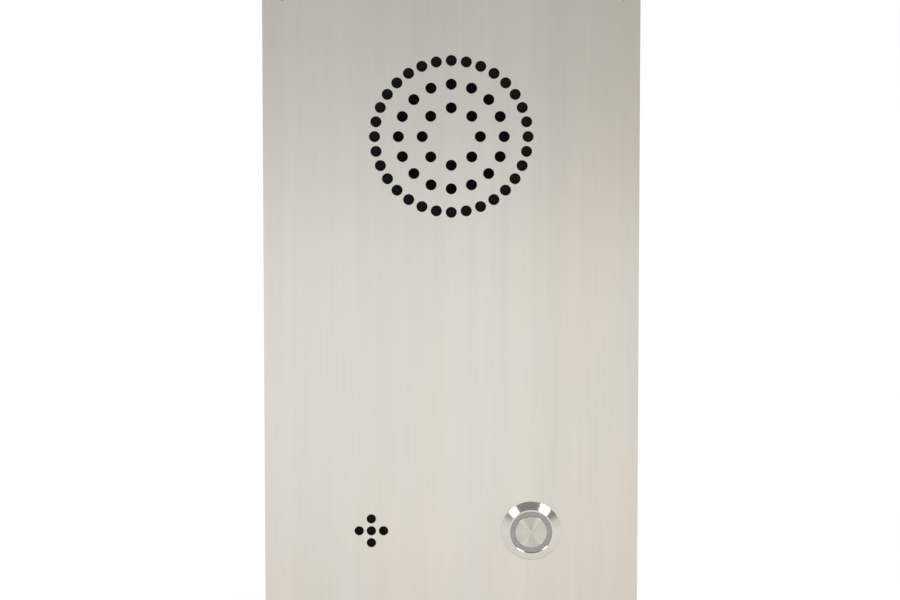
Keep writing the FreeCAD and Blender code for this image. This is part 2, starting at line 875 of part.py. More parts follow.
def make_speaker_clips():
    """Four L-shaped clips: each heel stands on the panel and each tongue holds the flange down."""
    clips = new_body("speaker_clips", 0, 0, "speaker_height")
    clips.Placement = Placement(clips.Placement.Base, Rotation(Vector(0, 1, 0), 45))
    tongue = "speaker_radius - clip_grip"
    under = f"{FLANGE} + basket_gauge"
    heel = "clip_heel_distance"
    sketch = new_sketch(clips, "XY_Plane")
    outline(
        sketch,
        [
            (tongue, under),
            (heel, under),
            (heel, 0),
            (f"{heel} + clip_thickness", 0),
            (f"{heel} + clip_thickness", CLIP_TOP),
            (tongue, CLIP_TOP),
        ],
    )
    clip = pad(clips, sketch, "clip_width", both_ways=True)
    hole = new_sketch(clips)
    small_round(hole, "stud_radius + stud_clearance", "clip_stud_distance")
    drilled = pocket(clips, hole, CLIP_TOP)
    ring_of(clips, [clip, drilled], len(CORNERS))


# Microphone, turned about its own axis from the panel's rear face

CAPSULE = "(mesh_thickness + boot_mouth_depth)"
BOOT_END = f"({CAPSULE} + capsule_length + boot_rear_lip)"
LEG = "(boot_flange_radius + bracket_clearance)"
FOOT_HOLE = f"({LEG} + (bracket_thickness + bracket_foot_length) / 2)"


def microphone_body(name, depth=0):
    return new_body(name, "-controls_offset", depth, "controls_height")


def make_microphone_mesh():
    mesh = microphone_body("microphone_mesh")
    radius, depth = "microphone_mesh_radius", "mesh_thickness"
    turn(mesh, [(0, 0), (radius, 0), (radius, depth), (0, depth)])


def make_microphone_boot():
    """The rubber boot that holds the capsule and seals it round the holes."""
    boot = microphone_body("microphone_boot")
    turn(
        boot,
        [
            ("boot_mouth_radius", "mesh_thickness"),
            ("boot_flange_radius", "mesh_thickness"),
            ("boot_flange_radius", "mesh_thickness + boot_flange_thickness"),
            ("boot_radius", "mesh_thickness + boot_flange_thickness"),
            ("boot_radius", BOOT_END),
            ("boot_rear_radius", BOOT_END),
            ("boot_rear_radius", f"{BOOT_END} - boot_rear_lip"),
            ("capsule_radius", f"{BOOT_END} - boot_rear_lip"),
            ("capsule_radius", CAPSULE),
            ("boot_mouth_radius", CAPSULE),
        ],
    )


def make_microphone_capsule():
    """The electret capsule: a sound port in front and a rolled rim behind."""
    capsule = microphone_body("microphone_capsule", CAPSULE)
    rim = "capsule_radius - capsule_rim"
    turn(
        capsule,
        [
            ("capsule_port_radius", 0),
            ("capsule_radius", 0),
            ("capsule_radius", "capsule_length"),
            (rim, "capsule_length"),
            (rim, "capsule_length - capsule_recess"),
            (0, "capsule_length - capsule_recess"),
            (0, "capsule_recess"),
            ("capsule_port_radius", "capsule_recess"),
        ],
    )


def make_microphone_bracket():
    """The folded steel strap that presses the boot against the panel."""
    bracket = microphone_body("microphone_bracket")
    gauge = "bracket_thickness"
    toe = f"({LEG} + bracket_foot_length)"
    top = f"({BOOT_END} + {gauge})"
    half = [
        (LEG, BOOT_END),
        (LEG, 0),
        (toe, 0),
        (toe, gauge),
        (f"({LEG} + {gauge})", gauge),
        (f"({LEG} + {gauge})", top),
    ]
    sketch = new_sketch(bracket, "XY_Plane")
    outline(sketch, half + [(f"-{x}", y) for x, y in half[::-1]])
    strap = pad(bracket, sketch, "bracket_width", both_ways=True)
    edge_x = number(f"{LEG} + {gauge}")

    def is_bend(edge, middle):
        return runs_along(edge, 2) and abs(abs(middle.x) - edge_x) < TOUCH and middle.y > number(BOOT_END)

    soften(bracket, strap, "Fillet", "bracket_bend_radius", is_bend)
    opening = new_sketch(bracket)
    circle(opening, 0, 0, "boot_rear_radius")
    pocket(bracket, opening, top)
    stud_hole = new_sketch(bracket)
    small_round(stud_hole, "stud_radius + stud_clearance", FOOT_HOLE)
    ring_of(bracket, [pocket(bracket, stud_hole, top)], 2)


# Call button, turned about its own axis with the panel's front face at depth nought

PANEL_HOLE = "(button_barrel_radius + panel_hole_clearance)"
RING_FACE = "(light_ring_recess - button_head_height)"
RING_SHOULDER = "(button_guide_depth + plunger_stop_gap)"
RING_REAR = f"({RING_SHOULDER} + plunger_flange_thickness)"
COLLAR_REAR = f"({RING_REAR} + plunger_collar_thickness)"
BLOCK_FACE = f"({COLLAR_REAR} + spring_length)"
GUIDE_END = f"({BLOCK_FACE} + contact_guide_length)"
BRIDGE_FACE = f"({GUIDE_END} + bridge_setback)"
BRIDGE_REAR = f"({BRIDGE_FACE} + bridge_thickness)"
PIN_TIP = f"({BRIDGE_REAR} + contact_rivet_height + button_travel + contact_gap)"
CAVITY = "(button_cavity_radius - contact_block_gap)"
BASE_PLUG = "(contact_cavity_radius - contact_block_gap)"
BASE_REAR = "(button_barrel_length + contact_base_flange + contact_base_height)"
PIN_END = f"({BASE_REAR} + pin_tail)"
NUT_FACE = "(plate_thickness + lock_washer_thickness)"


def button_body(name):
    return new_body(name, "controls_offset", "-plate_thickness", "controls_height")


def make_button_housing():
    """The metal head with its conical face, and the barrel behind it."""
    housing = button_body("button_housing")
    groove = f"{PANEL_HOLE} + seal_width"
    turn(
        housing,
        [
            ("button_bore_radius", "-button_head_height"),
            ("button_lip_radius", "-button_head_height"),
            ("button_head_radius", "-button_rim_height"),
            ("button_head_radius", 0),
            (groove, 0),
            (groove, "-seal_thickness"),
            ("button_barrel_radius", "-seal_thickness"),
            ("button_barrel_radius", "button_barrel_length"),
            ("button_cavity_radius", "button_barrel_length"),
            ("button_cavity_radius", "button_guide_depth"),
            ("button_bore_radius", "button_guide_depth"),
        ],
    )


def make_button_seal():
    seal = button_body("button_seal")
    outer = f"{PANEL_HOLE} + seal_width"
    turn(seal, [(PANEL_HOLE, "-seal_thickness"), (outer, "-seal_thickness"), (outer, 0), (PANEL_HOLE, 0)])


def make_button_light_ring():
    """The clear ring that shows round the cap, held in by its rear flange."""
    ring = button_body("button_light_ring")
    outer = "button_bore_radius - button_running_clearance"
    inner = "light_ring_inner_radius"
    turn(
        ring,
        [
            (inner, RING_FACE),
            (outer, RING_FACE),
            (outer, RING_SHOULDER),
            ("plunger_flange_radius", RING_SHOULDER),
            ("plunger_flange_radius", RING_REAR),
            (inner, RING_REAR),
        ],
    )


def make_button_cap():
    cap = button_body("button_cap")
    radius = "light_ring_inner_radius - cap_clearance"
    front = "-button_head_height"
    rear = f"{front} + cap_thickness"
    turn(
        cap,
        [
            (0, front),
            (f"{radius} - cap_edge_chamfer", front),
            (radius, f"{front} + cap_edge_chamfer"),
            (radius, rear),
            (0, rear),
        ],
    )


def make_button_plunger():
    """Carries the cap and the light ring, and runs in the contact block on its stem."""
    plunger = button_body("button_plunger")
    hub = "light_ring_inner_radius - cap_clearance"
    front = "cap_thickness - button_head_height"
    turn(
        plunger,
        [
            (0, front),
            (hub, front),
            (hub, RING_REAR),
            ("plunger_collar_radius", RING_REAR),
            ("plunger_collar_radius", COLLAR_REAR),
            ("plunger_stem_radius", COLLAR_REAR),
            ("plunger_stem_radius", BRIDGE_FACE),
            (0, BRIDGE_FACE),
        ],
    )


def make_button_lamp_board():
    """A ring-shaped board behind the light ring, with four lamps."""
    board = button_body("button_lamp_board")
    inner = "lamp_board_inner_radius"
    face = f"{BLOCK_FACE} - lamp_board_thickness"
    turn(board, [(inner, face), (CAVITY, face), (CAVITY, BLOCK_FACE), (inner, BLOCK_FACE)])
    sketch = new_sketch(board, depth=f"{face} - lamp_height")
    rectangle(sketch, "lamp_width", "lamp_length", f"({inner} + {CAVITY}) / 2")
    lamp = pad(board, sketch, "lamp_height")
    ring_of(board, [lamp], "lamp_count")


def make_contact_block():
    """Guides the stem, seats the spring and holds the lamp pins in two slots."""
    block = button_body("contact_block")
    guide = "plunger_stem_radius + button_running_clearance"
    cavity = "contact_cavity_radius"
    end = "button_barrel_length"
    rim = [(guide, BLOCK_FACE), (CAVITY, BLOCK_FACE), (CAVITY, end)]
    turn(block, rim + [(cavity, end), (cavity, GUIDE_END), (guide, GUIDE_END)])
    slots = new_sketch(block, depth=BLOCK_FACE)
    draw_pins(slots, contact=False)
    pocket(block, slots, f"{end} - {BLOCK_FACE}")


def make_contact_base():
    base = button_body("contact_base")
    end = "button_barrel_length"
    flange = f"{end} + contact_base_flange"
    radius = "contact_base_radius"
    turn(
        base,
        [
            (0, f"{end} - contact_plug_depth"),
            (BASE_PLUG, f"{end} - contact_plug_depth"),
            (BASE_PLUG, end),
            ("button_barrel_radius", end),
            ("button_barrel_radius", flange),
            (radius, flange),
            (radius, BASE_REAR),
            (0, BASE_REAR),
        ],
    )
    slots = new_sketch(base, depth=f"{end} - contact_plug_depth")
    draw_pins(slots, contact=True)
    draw_pins(slots, contact=False)
    pocket(base, slots, f"{BASE_REAR} - {end} + contact_plug_depth")


def draw_pins(sketch, contact):
    """Two flat pins: the contact pins lie left and right, the lamp pins above and below."""
    for side in (-1, 1):
        if contact:
            rectangle(sketch, "pin_thickness", "pin_width", f"{side} * contact_pin_offset")
        else:
            rectangle(sketch, "pin_width", "pin_thickness", 0, f"{side} * lamp_pin_offset")


def make_button_pins():
    pins = button_body("button_pins")
    for contact, start in ((True, PIN_TIP), (False, BLOCK_FACE)):
        sketch = new_sketch(pins, depth=start)
        draw_pins(sketch, contact)
        pad(pins, sketch, f"{PIN_END} - {start}")


def make_contact_bridge():
    """The bridge on the stem's end that joins the two contact pins when the button is pressed."""
    bridge = button_body("contact_bridge")
    sketch = new_sketch(bridge, depth=BRIDGE_FACE)
    rectangle(sketch, "bridge_length", "bridge_width")
    pad(bridge, sketch, "bridge_thickness")
    rivets = new_sketch(bridge, depth=BRIDGE_REAR)
    for side in (-1, 1):
        circle(rivets, f"{side} * contact_pin_offset", 0, "contact_rivet_radius")
    pad(bridge, rivets, "contact_rivet_height")


def make_button_fixing():
    """The lock washer and the hexagonal nut behind the panel."""
    washer = button_body("button_lock_washer")
    bore = "button_barrel_radius + button_thread_clearance"
    outer = "lock_washer_radius"
    turn(washer, [(bore, "plate_thickness"), (outer, "plate_thickness"), (outer, NUT_FACE), (bore, NUT_FACE)])
    nut = button_body("button_nut")
    sketch = new_sketch(nut, depth=NUT_FACE)
    hexagon(sketch, "button_nut_across_flats")
    circle(sketch, 0, 0, bore)
    pad(nut, sketch, "button_nut_height")


def helix_point(angle, radius, start, pitch):
    """A point of a helix about the Y axis, with the angle in radians."""
    return Vector(radius * math.cos(angle), start + pitch * angle / (2 * math.pi), radius * math.sin(angle))


def helix_tangent(angle, radius, pitch):
    rise = pitch / (2 * math.pi)
    return Vector(-radius * math.sin(angle), rise, radius * math.cos(angle)).normalize()


def arc_from(start, tangent, end):
    """The arc that leaves start along a tangent and meets end."""
    chord = end - start
    across = chord - tangent * chord.dot(tangent)
    radius = chord.dot(chord) / (2 * across.Length)
    centre = start + across.normalize() * radius
    middle = (start + end) * 0.5 - centre
    return Part.Arc(start, centre + middle.normalize() * radius, end)


def biarc(start, start_tangent, end, end_tangent):
    """Two arcs that join two points and leave each along its tangent."""
    chord = end - start
    total = start_tangent + end_tangent
    lean = chord.dot(total)
    spread = 2 * (1 - start_tangent.dot(end_tangent))
    reach = (-lean + math.sqrt(lean**2 + spread * chord.dot(chord))) / spread
    joint = (start + end + (start_tangent - end_tangent) * reach) * 0.5
    return [arc_from(start, start_tangent, joint).toShape(), arc_back(joint, end, end_tangent).toShape()]


def arc_back(start, end, end_tangent):
    """The arc that leaves start and arrives at end along a tangent."""
    mirrored = arc_from(end, end_tangent * -1, start)
    middle = mirrored.value((mirrored.FirstParameter + mirrored.LastParameter) / 2)
    return Part.Arc(start, middle, end)


def make_button_spring():
    """The return spring between the plunger's collar and the contact block: one unbroken wire."""
    radius = number("spring_mean_radius")
    wire = number("spring_wire_radius")
    seat = number("spring_seat_gap") + wire
    start = number(COLLAR_REAR) + seat
    turns = int(number("spring_turns"))
    pitch = (number("spring_length") - 2 * seat) / turns
    edges = []
    quarter = math.pi / 2
    for step in range(4 * turns):
        first, last = step * quarter, (step + 1) * quarter
        edges += biarc(
            helix_point(first, radius, start, pitch),
            helix_tangent(first, radius, pitch),
            helix_point(last, radius, start, pitch),
            helix_tangent(last, radius, pitch),
        )
    path = Part.Wire(edges)
    section = regular_section(helix_point(0, radius, start, pitch), helix_tangent(0, radius, pitch), wire)
    coil = path.makePipeShell([section], True, False)
    spring = document.addObject("Part::Feature", "button_spring")
    spring.Shape = coil
    place(spring, "controls_offset", "-plate_thickness", "controls_height")
    pieces.append(spring)
    print("button_spring: least gap between turns", round(pitch - 2 * wire, 2), "mm")


def regular_section(centre, normal, radius):
    """A closed many-sided section of a wire or lead, square to its path."""
    side = normal.cross(Vector(0, 1, 0.01)).normalize()
    up = normal.cross(side).normalize()
    count = WIRE_SIDES
    corners = []
    for step in range(count + 1):
        angle = 2 * math.pi * (step % count) / count
        corners.append(centre + side * (radius * math.cos(angle)) + up * (radius * math.sin(angle)))
    return Part.makePolygon(corners)


# Board, drawn from its own centre with its rear face at depth nought

BOARD_REAR = "(standoff_height + board_thickness)"
BOARD_HOLE_X = "(board_width / 2 - board_hole_inset)"
BOARD_HOLE_Z = "(board_length / 2 - board_hole_inset)"
LEFT = "-board_width / 2"
RIGHT = "board_width / 2"
TOP = "board_length / 2"
BOTTOM = "-board_length / 2"


def board_body(name, x=0, y=0, depth=0):
    """A body on the board, its origin at a point from the board's centre."""
    return new_body(name, x, f"{BOARD_REAR} + {depth}", f"board_height + {y}")


def board_hole_places():
    return [{"x": f"{side} * {BOARD_HOLE_X}", "y": f"{end} * {BOARD_HOLE_Z}"} for side, end in CORNERS]


def make_main_board():
    board = board_body("main_board", depth="-board_thickness")
    sketch = new_sketch(board)
    rectangle(sketch, "board_width", "board_length")
    slab = pad(board, sketch, "board_thickness")
    soften(board, slab, "Fillet", "board_corner_radius", lambda edge, middle: runs_along(edge, 1))
    for place in board_hole_places():
        hole = new_sketch(board, **place)
        small_round(hole, "stud_radius + stud_clearance")
        pocket(board, hole, "board_thickness")


def make_board_fixing():
    """Four tapped hexagonal standoffs on the panel and the screws that hold the board on them."""
    standoffs = new_body("board_standoffs", 0, 0, "board_height")
    screws = board_body("board_screws")
    for place in board_hole_places():
        outside = new_sketch(standoffs, **place)
        hexagon(outside, "standoff_across_flats")
        pad(standoffs, outside, "standoff_height")
        bore = new_sketch(standoffs, depth="standoff_height - standoff_bore_depth", **place)
        small_round(bore, "stud_radius")
        pocket(standoffs, bore, "standoff_bore_depth")

        shank = new_sketch(screws, depth="-screw_shank_length", **place)
        small_round(shank, "stud_radius - screw_clearance")
        pad(screws, shank, "screw_shank_length")
        head = new_sketch(screws, **place)
        small_round(head, "screw_head_radius")
        pad(screws, head, "screw_head_height")
        slot = new_sketch(screws, depth="screw_head_height / 2", **place)
        rectangle(slot, "2 * screw_head_radius + screw_slot_width", "screw_slot_width")
        pocket(screws, slot, "screw_head_height / 2")


def make_block(name, x, y, width, length, height, bevel):
    """A moulded block that stands on the board, its outer edges bevelled."""
    body = board_body(name, x, y)
    sketch = new_sketch(body)
    rectangle(sketch, width, length)
    block = pad(body, sketch, height)

    def is_outer(edge, middle):
        return middle.y > number(height) - TOUCH

    soften(body, block, "Chamfer", bevel, is_outer)
    return body


def make_relay():
    make_block(
        "hook_relay",
        f"{RIGHT} - relay_from_right",
        f"{TOP} - relay_from_top",
        "relay_length",
        "relay_width",
        "relay_height",
        "relay_bevel",
    )


def make_film_capacitor():
    make_block(
        "film_capacitor",
        f"{RIGHT} - film_capacitor_from_right",
        f"{TOP} - film_capacitor_from_top",
        "film_capacitor_length",
        "film_capacitor_width",
        "film_capacitor_height",
        "film_capacitor_bevel",
    )


def make_capacitors(name, prefix, count, x, y):
    """A row of upright cans with bevelled tops."""
    body = board_body(name, x, y)
    radius = f"{prefix}_capacitor_radius"
    height = f"{prefix}_capacitor_height"
    bevel = "capacitor_bevel"
    top = [(radius, f"{height} - {bevel}"), (f"{radius} - {bevel}", height), (0, height)]
    can = turn(body, [(0, 0), (radius, 0), *top])
    row_of(body, can, count, f"{prefix}_capacitor_spacing")


def make_capacitor_rows():
    x, y = f"{LEFT} + large_capacitor_from_left", f"{TOP} - large_capacitor_from_top"
    make_capacitors("large_capacitors", "large", 2, x, y)
    x, y = f"{LEFT} + small_capacitor_from_left", f"{TOP} - small_capacitor_from_top"
    make_capacitors("small_capacitors", "small", 3, x, y)


def make_transformer():
    """The laminated core, and the bobbin that fills its windows and stands on the board."""
    x = f"{RIGHT} - transformer_from_right"
    y = f"{TOP} - transformer_from_top"
    leg = "transformer_leg"
    gap = "transformer_base_gap"
    core = board_body("transformer_core", x, y)
    sketch = new_sketch(core, "XY_Plane", y=gap)
    rectangle(sketch, "transformer_width", "transformer_height", 0, "transformer_height / 2")
    window = f"(transformer_width / 2 - 2 * {leg})"
    for side in (-1, 1):
        centre = f"{side} * ({leg} + {window} / 2)"
        rectangle(sketch, window, f"transformer_height - 2 * {leg}", centre, "transformer_height / 2")
    pad(core, sketch, "transformer_stack", both_ways=True)

    bobbin = board_body("transformer_bobbin", x, y)
    inner = f"({gap} + {leg})"
    reach = f"(transformer_stack / 2 + {window})"
    width = f"2 * ({leg} + {window})"
    coil = new_sketch(bobbin, depth=inner)
    rectangle(coil, width, f"2 * {reach}")
    rectangle(coil, f"2 * {leg}", "transformer_stack")
    pad(bobbin, coil, f"transformer_height - 2 * {leg}")
    rails = new_sketch(bobbin)
    for side in (-1, 1):
        depth = f"({window} - transformer_rail_gap)"
        rectangle(rails, width, depth, 0, f"{side} * ({reach} - {depth} / 2)")
    pad(bobbin, rails, inner)


def make_circuit_chips():
    """The processor, two audio chips and the line rectifier, all in black packages."""
    chips = board_body("circuit_chips")
    flat = new_sketch(chips)
    rectangle(flat, "processor_side", "processor_side", "processor_x", "processor_y")
    pad(chips, flat, "processor_height")
    audio = new_sketch(chips)
    for step in range(2):
        y = f"{TOP} - audio_chip_from_top - {step} * audio_chip_spacing"
        rectangle(audio, "audio_chip_length", "audio_chip_width", f"{LEFT} + audio_chip_from_left", y)
    pad(chips, audio, "audio_chip_height")
    rectifier = new_sketch(chips)
    x, y = f"{RIGHT} - rectifier_from_right", f"{BOTTOM} + rectifier_from_bottom"
    rectangle(rectifier, "rectifier_length", "rectifier_width", x, y)
    pad(chips, rectifier, "rectifier_height")


def make_terminal_block():
    """The line terminals: a row of wire entries below and of screw wells behind."""
    y = f"{BOTTOM} + terminal_from_bottom"
    block = board_body("terminal_block", 0, y)
    half = "terminal_depth / 2"
    sketch = new_sketch(block, "YZ_Plane")
    outline(
        sketch,
        [
            (0, f"-{half}"),
            ("terminal_height - terminal_bevel", f"-{half}"),
            ("terminal_height", f"terminal_bevel - {half}"),
            ("terminal_height", half),
            (0, half),
        ],
    )
    pad(block, sketch, "terminal_count * terminal_pitch", both_ways=True)
    first_x = "-(terminal_count - 1) * terminal_pitch / 2"
    entry = new_sketch(block, "XY_Plane", depth=f"-{half}")
    rise = "terminal_entry_floor + terminal_entry_height / 2"
    rectangle(entry, "terminal_entry_width", "terminal_entry_height", first_x, rise)
    opening = pocket(block, entry, "terminal_entry_depth", to_front=True)
    row_of(block, opening, "terminal_count", "terminal_pitch")
    well = new_sketch(block, depth="terminal_height")
    small_round(well, "terminal_well_radius", first_x, "terminal_bevel / 2")
    sunk = pocket(block, well, "terminal_well_depth", to_front=True)
    row_of(block, sunk, "terminal_count", "terminal_pitch")

    screws = board_body("terminal_screws", 0, y)
    head = new_sketch(screws, depth="terminal_height - terminal_well_depth")
    small_round(head, "terminal_screw_radius", first_x, "terminal_bevel / 2")
    one = pad(screws, head, "terminal_screw_height")
    row_of(screws, one, "terminal_count", "terminal_pitch")


def header_places():
    """Where the headers stand: the speaker's above, the microphone's and the button's below."""
    low = f"{BOTTOM} + header_from_edge"
    return {
        "speaker": ("0", f"{TOP} - header_from_edge"),
        "microphone": ("-header_offset", low),
        "button": ("header_offset", low),
    }


def make_headers_and_plugs():
    headers = board_body("lead_headers")
    plugs = board_body("lead_plugs", depth="header_floor")
    outer = new_sketch(headers)
    inner = new_sketch(headers, depth="header_floor")
    bodies = new_sketch(plugs)
    hollow_width = "(header_width - 2 * header_wall)"
    hollow_depth = "(header_depth - 2 * header_wall)"
    plug_width = f"{hollow_width} - 2 * plug_clearance"
    plug_depth = f"{hollow_depth} - 2 * plug_clearance"
    for x, y in header_places().values():
        rectangle(outer, "header_width", "header_depth", x, y)
        rectangle(inner, hollow_width, hollow_depth, x, y)
        rectangle(bodies, plug_width, plug_depth, x, y)
    pad(headers, outer, "header_height")
    pocket(headers, inner, "header_height")
    pad(plugs, bodies, "plug_height")


def trimmer_place(step):
    return f"{LEFT} + trimmer_from_left", f"{BOTTOM} + trimmer_from_bottom + {step} * trimmer_spacing"


def make_trimmers():
    """Two trimmers with slotted rotors: the speaker's volume and the microphone's gain."""
    bases = board_body("trimmer_bases")
    blocks = new_sketch(bases)
    seats = new_sketch(bases, depth="trimmer_height - rotor_depth")
    for step in range(2):
        x, y = trimmer_place(step)
        rectangle(blocks, "trimmer_side", "trimmer_side", x, y)
        circle(seats, x, y, "rotor_radius + rotor_clearance")
    pad(bases, blocks, "trimmer_height")
    pocket(bases, seats, "rotor_depth")
    for step, name in enumerate(("volume_rotor", "gain_rotor")):
        x, y = trimmer_place(step)
        rotor = board_body(name, x, y, depth="trimmer_height - rotor_depth")
        disc = new_sketch(rotor)
        circle(disc, 0, 0, "rotor_radius")
        pad(rotor, disc, "rotor_depth + rotor_rise")
        slot = new_sketch(rotor, depth="rotor_depth + rotor_rise - rotor_slot_depth")
        rectangle(slot, "2 * rotor_radius + rotor_slot_width", "rotor_slot_width")
        pocket(rotor, slot, "rotor_slot_depth")


# Earth connection on the panel's rear face

LUG_END = "(earth_lug_radius + earth_barrel_length)"


def earth_body(name, depth=0):
    return new_body(name, "-plate_width / 2 + earth_from_left", depth, "plate_height / 2 - earth_from_top")


def make_earth_connection():
    stud = earth_body("earth_stud")
    sketch = new_sketch(stud)
    circle(sketch, 0, 0, "earth_stud_radius")
    pad(stud, sketch, "earth_stud_length")

    lug = earth_body("earth_lug")
    eye = new_sketch(lug)
    circle(eye, 0, 0, "earth_lug_radius")
    circle(eye, 0, 0, "earth_stud_radius + stud_clearance")
    pad(lug, eye, "earth_lug_thickness")
    tongue = new_sketch(lug)
    length = f"({LUG_END} - earth_stud_radius - 2 * stud_clearance)"
    rectangle(tongue, "2 * earth_barrel_radius", length, 0, f"{length} / 2 - {LUG_END}")
    pad(lug, tongue, "earth_lug_thickness")

    nut = earth_body("earth_nut", "earth_lug_thickness")
    sketch = new_sketch(nut)
    hexagon(sketch, "earth_nut_across_flats")
    circle(sketch, 0, 0, "earth_stud_radius")
    pad(nut, sketch, "earth_nut_height")


# Leads, each a many-sided tube along straight runs joined by tangent arcs


def lead_path(points):
    """Runs between the points, joined by arcs that take less than half of the shorter run."""
    edges = []
    radii = []
    at = points[0]
    for before, corner, after in zip(points, points[1:], points[2:]):
        first = (corner - before).normalize()
        second = (after - corner).normalize()
        half_turn = first.getAngle(second) / 2
        reach = ARC_SHARE * min((corner - before).Length, (after - corner).Length)
        radii.append(reach / math.tan(half_turn))
        start = corner - first * reach
        end = corner + second * reach
        inward = (second - first).normalize()
        centre = corner + inward * (radii[-1] / math.cos(half_turn))
        edges.append(Part.makeLine(at, start))
        edges.append(Part.Arc(start, centre - inward * radii[-1], end).toShape())
        at = end
    edges.append(Part.makeLine(at, points[-1]))
    return Part.Wire(edges), min(radii)


def make_leads(name, routes):
    """One node of leads that run side by side. A route is a list of points in millimetres."""
    radius = number("lead_radius")
    solids = []
    for points in routes:
        path, tightest = lead_path(points)
        section = regular_section(points[0], (points[1] - points[0]).normalize(), radius)
        tube = path.makePipeShell([section], True, False)
        area = Part.Face(section).Area
        share = tube.Volume / (area * path.Length)
        print(f"{name}: length {path.Length:.1f}, tightest radius {tightest:.1f}, volume share {share:.4f}")
        solids.append(tube)
    leads = document.addObject("Part::Feature", name)
    leads.Shape = Part.makeCompound(solids)
    pieces.append(leads)


def plug_point(unit, offset):
    """Where a lead enters its plug, offset sideways from the plug's middle."""
    x, y = header_places()[unit]
    depth = number(f"{BOARD_REAR} + header_floor + plug_height + lead_clearance")
    return Vector(number(x) + offset, depth, number(f"board_height + {y}"))


def looped_back(start, end, reach):
    """A way from start to the rear, across at a depth, and forward again to end."""
    loop = number(reach)
    return [start, Vector(start.x, loop, start.z), Vector(end.x, loop, end.z), end]


def make_speaker_leads():
    tag_face = f"{FLANGE} + basket_gauge + tag_strip_thickness + tag_thickness + lead_clearance"
    routes = []
    for side in (-1, 1):
        start = Vector(
            number(f"{side} * tag_spacing / 2"),
            number(tag_face),
            number("speaker_height - speaker_radius - tag_length + tag_width"),
        )
        end = plug_point("speaker", side * number("lead_spacing"))
        routes.append(looped_back(start, end, "speaker_lead_loop"))
    make_leads("speaker_leads", routes)


def make_microphone_leads():
    routes = []
    for side in (-1, 1):
        start = Vector(
            number(f"-controls_offset + {side} * lead_spacing"),
            number(f"{CAPSULE} + capsule_length - capsule_recess + lead_clearance"),
            number("controls_height"),
        )
        end = plug_point("microphone", side * number("lead_spacing"))
        routes.append(looped_back(start, end, "microphone_lead_loop"))
    make_leads("microphone_leads", routes)


def make_button_leads():
    pins = [
        ("-contact_pin_offset", 0),
        (0, "lamp_pin_offset"),
        (0, "-lamp_pin_offset"),
        ("contact_pin_offset", 0),
    ]
    middle = (len(pins) - 1) / 2
    routes = []
    for step, (x, y) in enumerate(pins):
        start = Vector(
            number(f"controls_offset + {x}"),
            number(f"{PIN_END} - plate_thickness + lead_clearance"),
            number(f"controls_height + {y}"),
        )
        end = plug_point("button", (step - middle) * number("button_lead_spacing"))
        routes.append(looped_back(start, end, "button_lead_loop"))
    make_leads("button_leads", routes)


def make_earth_lead():
    """From the lug down the panel, to the rear past the board's top edge, and forward to its pad."""
    x = number("-plate_width / 2 + earth_from_left")
    lug_end = number(f"plate_height / 2 - earth_from_top - {LUG_END}")
    over = number(f"board_height + {TOP} + earth_lead_over_board")
    loop = number("earth_lead_loop")
    start = Vector(
        x,
        number("lead_radius + earth_lug_thickness + lead_clearance"),
        lug_end + number("earth_lead_grip"),
    )
    end = Vector(
        number(f"{LEFT} + earth_pad_from_left"),
        number(f"{BOARD_REAR} + lead_clearance"),
        number(f"board_height + {TOP} - earth_pad_from_top"),
    )
    beside = Vector(x, start.y, over)
    behind = Vector(x, loop, over)
    make_leads("earth_lead", [[start, beside, behind, Vector(end.x, loop, end.z), end]])


# Building, checking and writing

MAKERS = (
    make_face_plate,
    make_panel_gasket,
    make_weld_studs,
    make_stud_nuts,
    make_speaker_mesh,
    make_speaker_gasket,
    make_speaker_basket,
    make_speaker_surround,
    make_speaker_cone,
    make_speaker_dust_cap,
    make_voice_coil,
    make_speaker_spider,
    make_magnet_system,
    make_speaker_terminals,
    make_speaker_clips,
    make_microphone_mesh,
    make_microphone_boot,
    make_microphone_capsule,
    make_microphone_bracket,
    make_button_housing,
    make_button_seal,
    make_button_light_ring,
    make_button_cap,
    make_button_plunger,
    make_button_lamp_board,
    make_contact_block,
    make_contact_base,
    make_button_pins,
    make_contact_bridge,
    make_button_fixing,
    make_button_spring,
    make_main_board,
    make_board_fixing,
    make_relay,
    make_film_capacitor,
    make_capacitor_rows,
    make_transformer,
    make_circuit_chips,
    make_terminal_block,
    make_headers_and_plugs,
    make_trimmers,
    make_earth_connection,
    make_speaker_leads,
    make_microphone_leads,
    make_button_leads,
    make_earth_lead,
)


def failed_objects():
    return [item.Name for item in document.Objects if {"Invalid", "Error"} & set(item.State)]


def main():
    for make in MAKERS:
        make()
    document.recompute()
    failed = failed_objects()
    if failed:
        raise RuntimeError(f"objects that failed: {failed}")
    for piece in pieces:
        if piece.Shape.isNull() or not piece.Shape.isValid():
            raise RuntimeError(f"{piece.Name} has no valid shape")
    os.makedirs("parts", exist_ok=True)
    for piece in pieces:
        piece.Shape.exportStep(f"parts/{piece.Name}.step")
    print(len(pieces), "pieces,", sum(len(piece.Shape.Solids) for piece in pieces), "solids")


main()
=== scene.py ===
from math import asin, cos, pi, radians, sin, tan

import bmesh
import bpy
from mathutils import Matrix, Vector


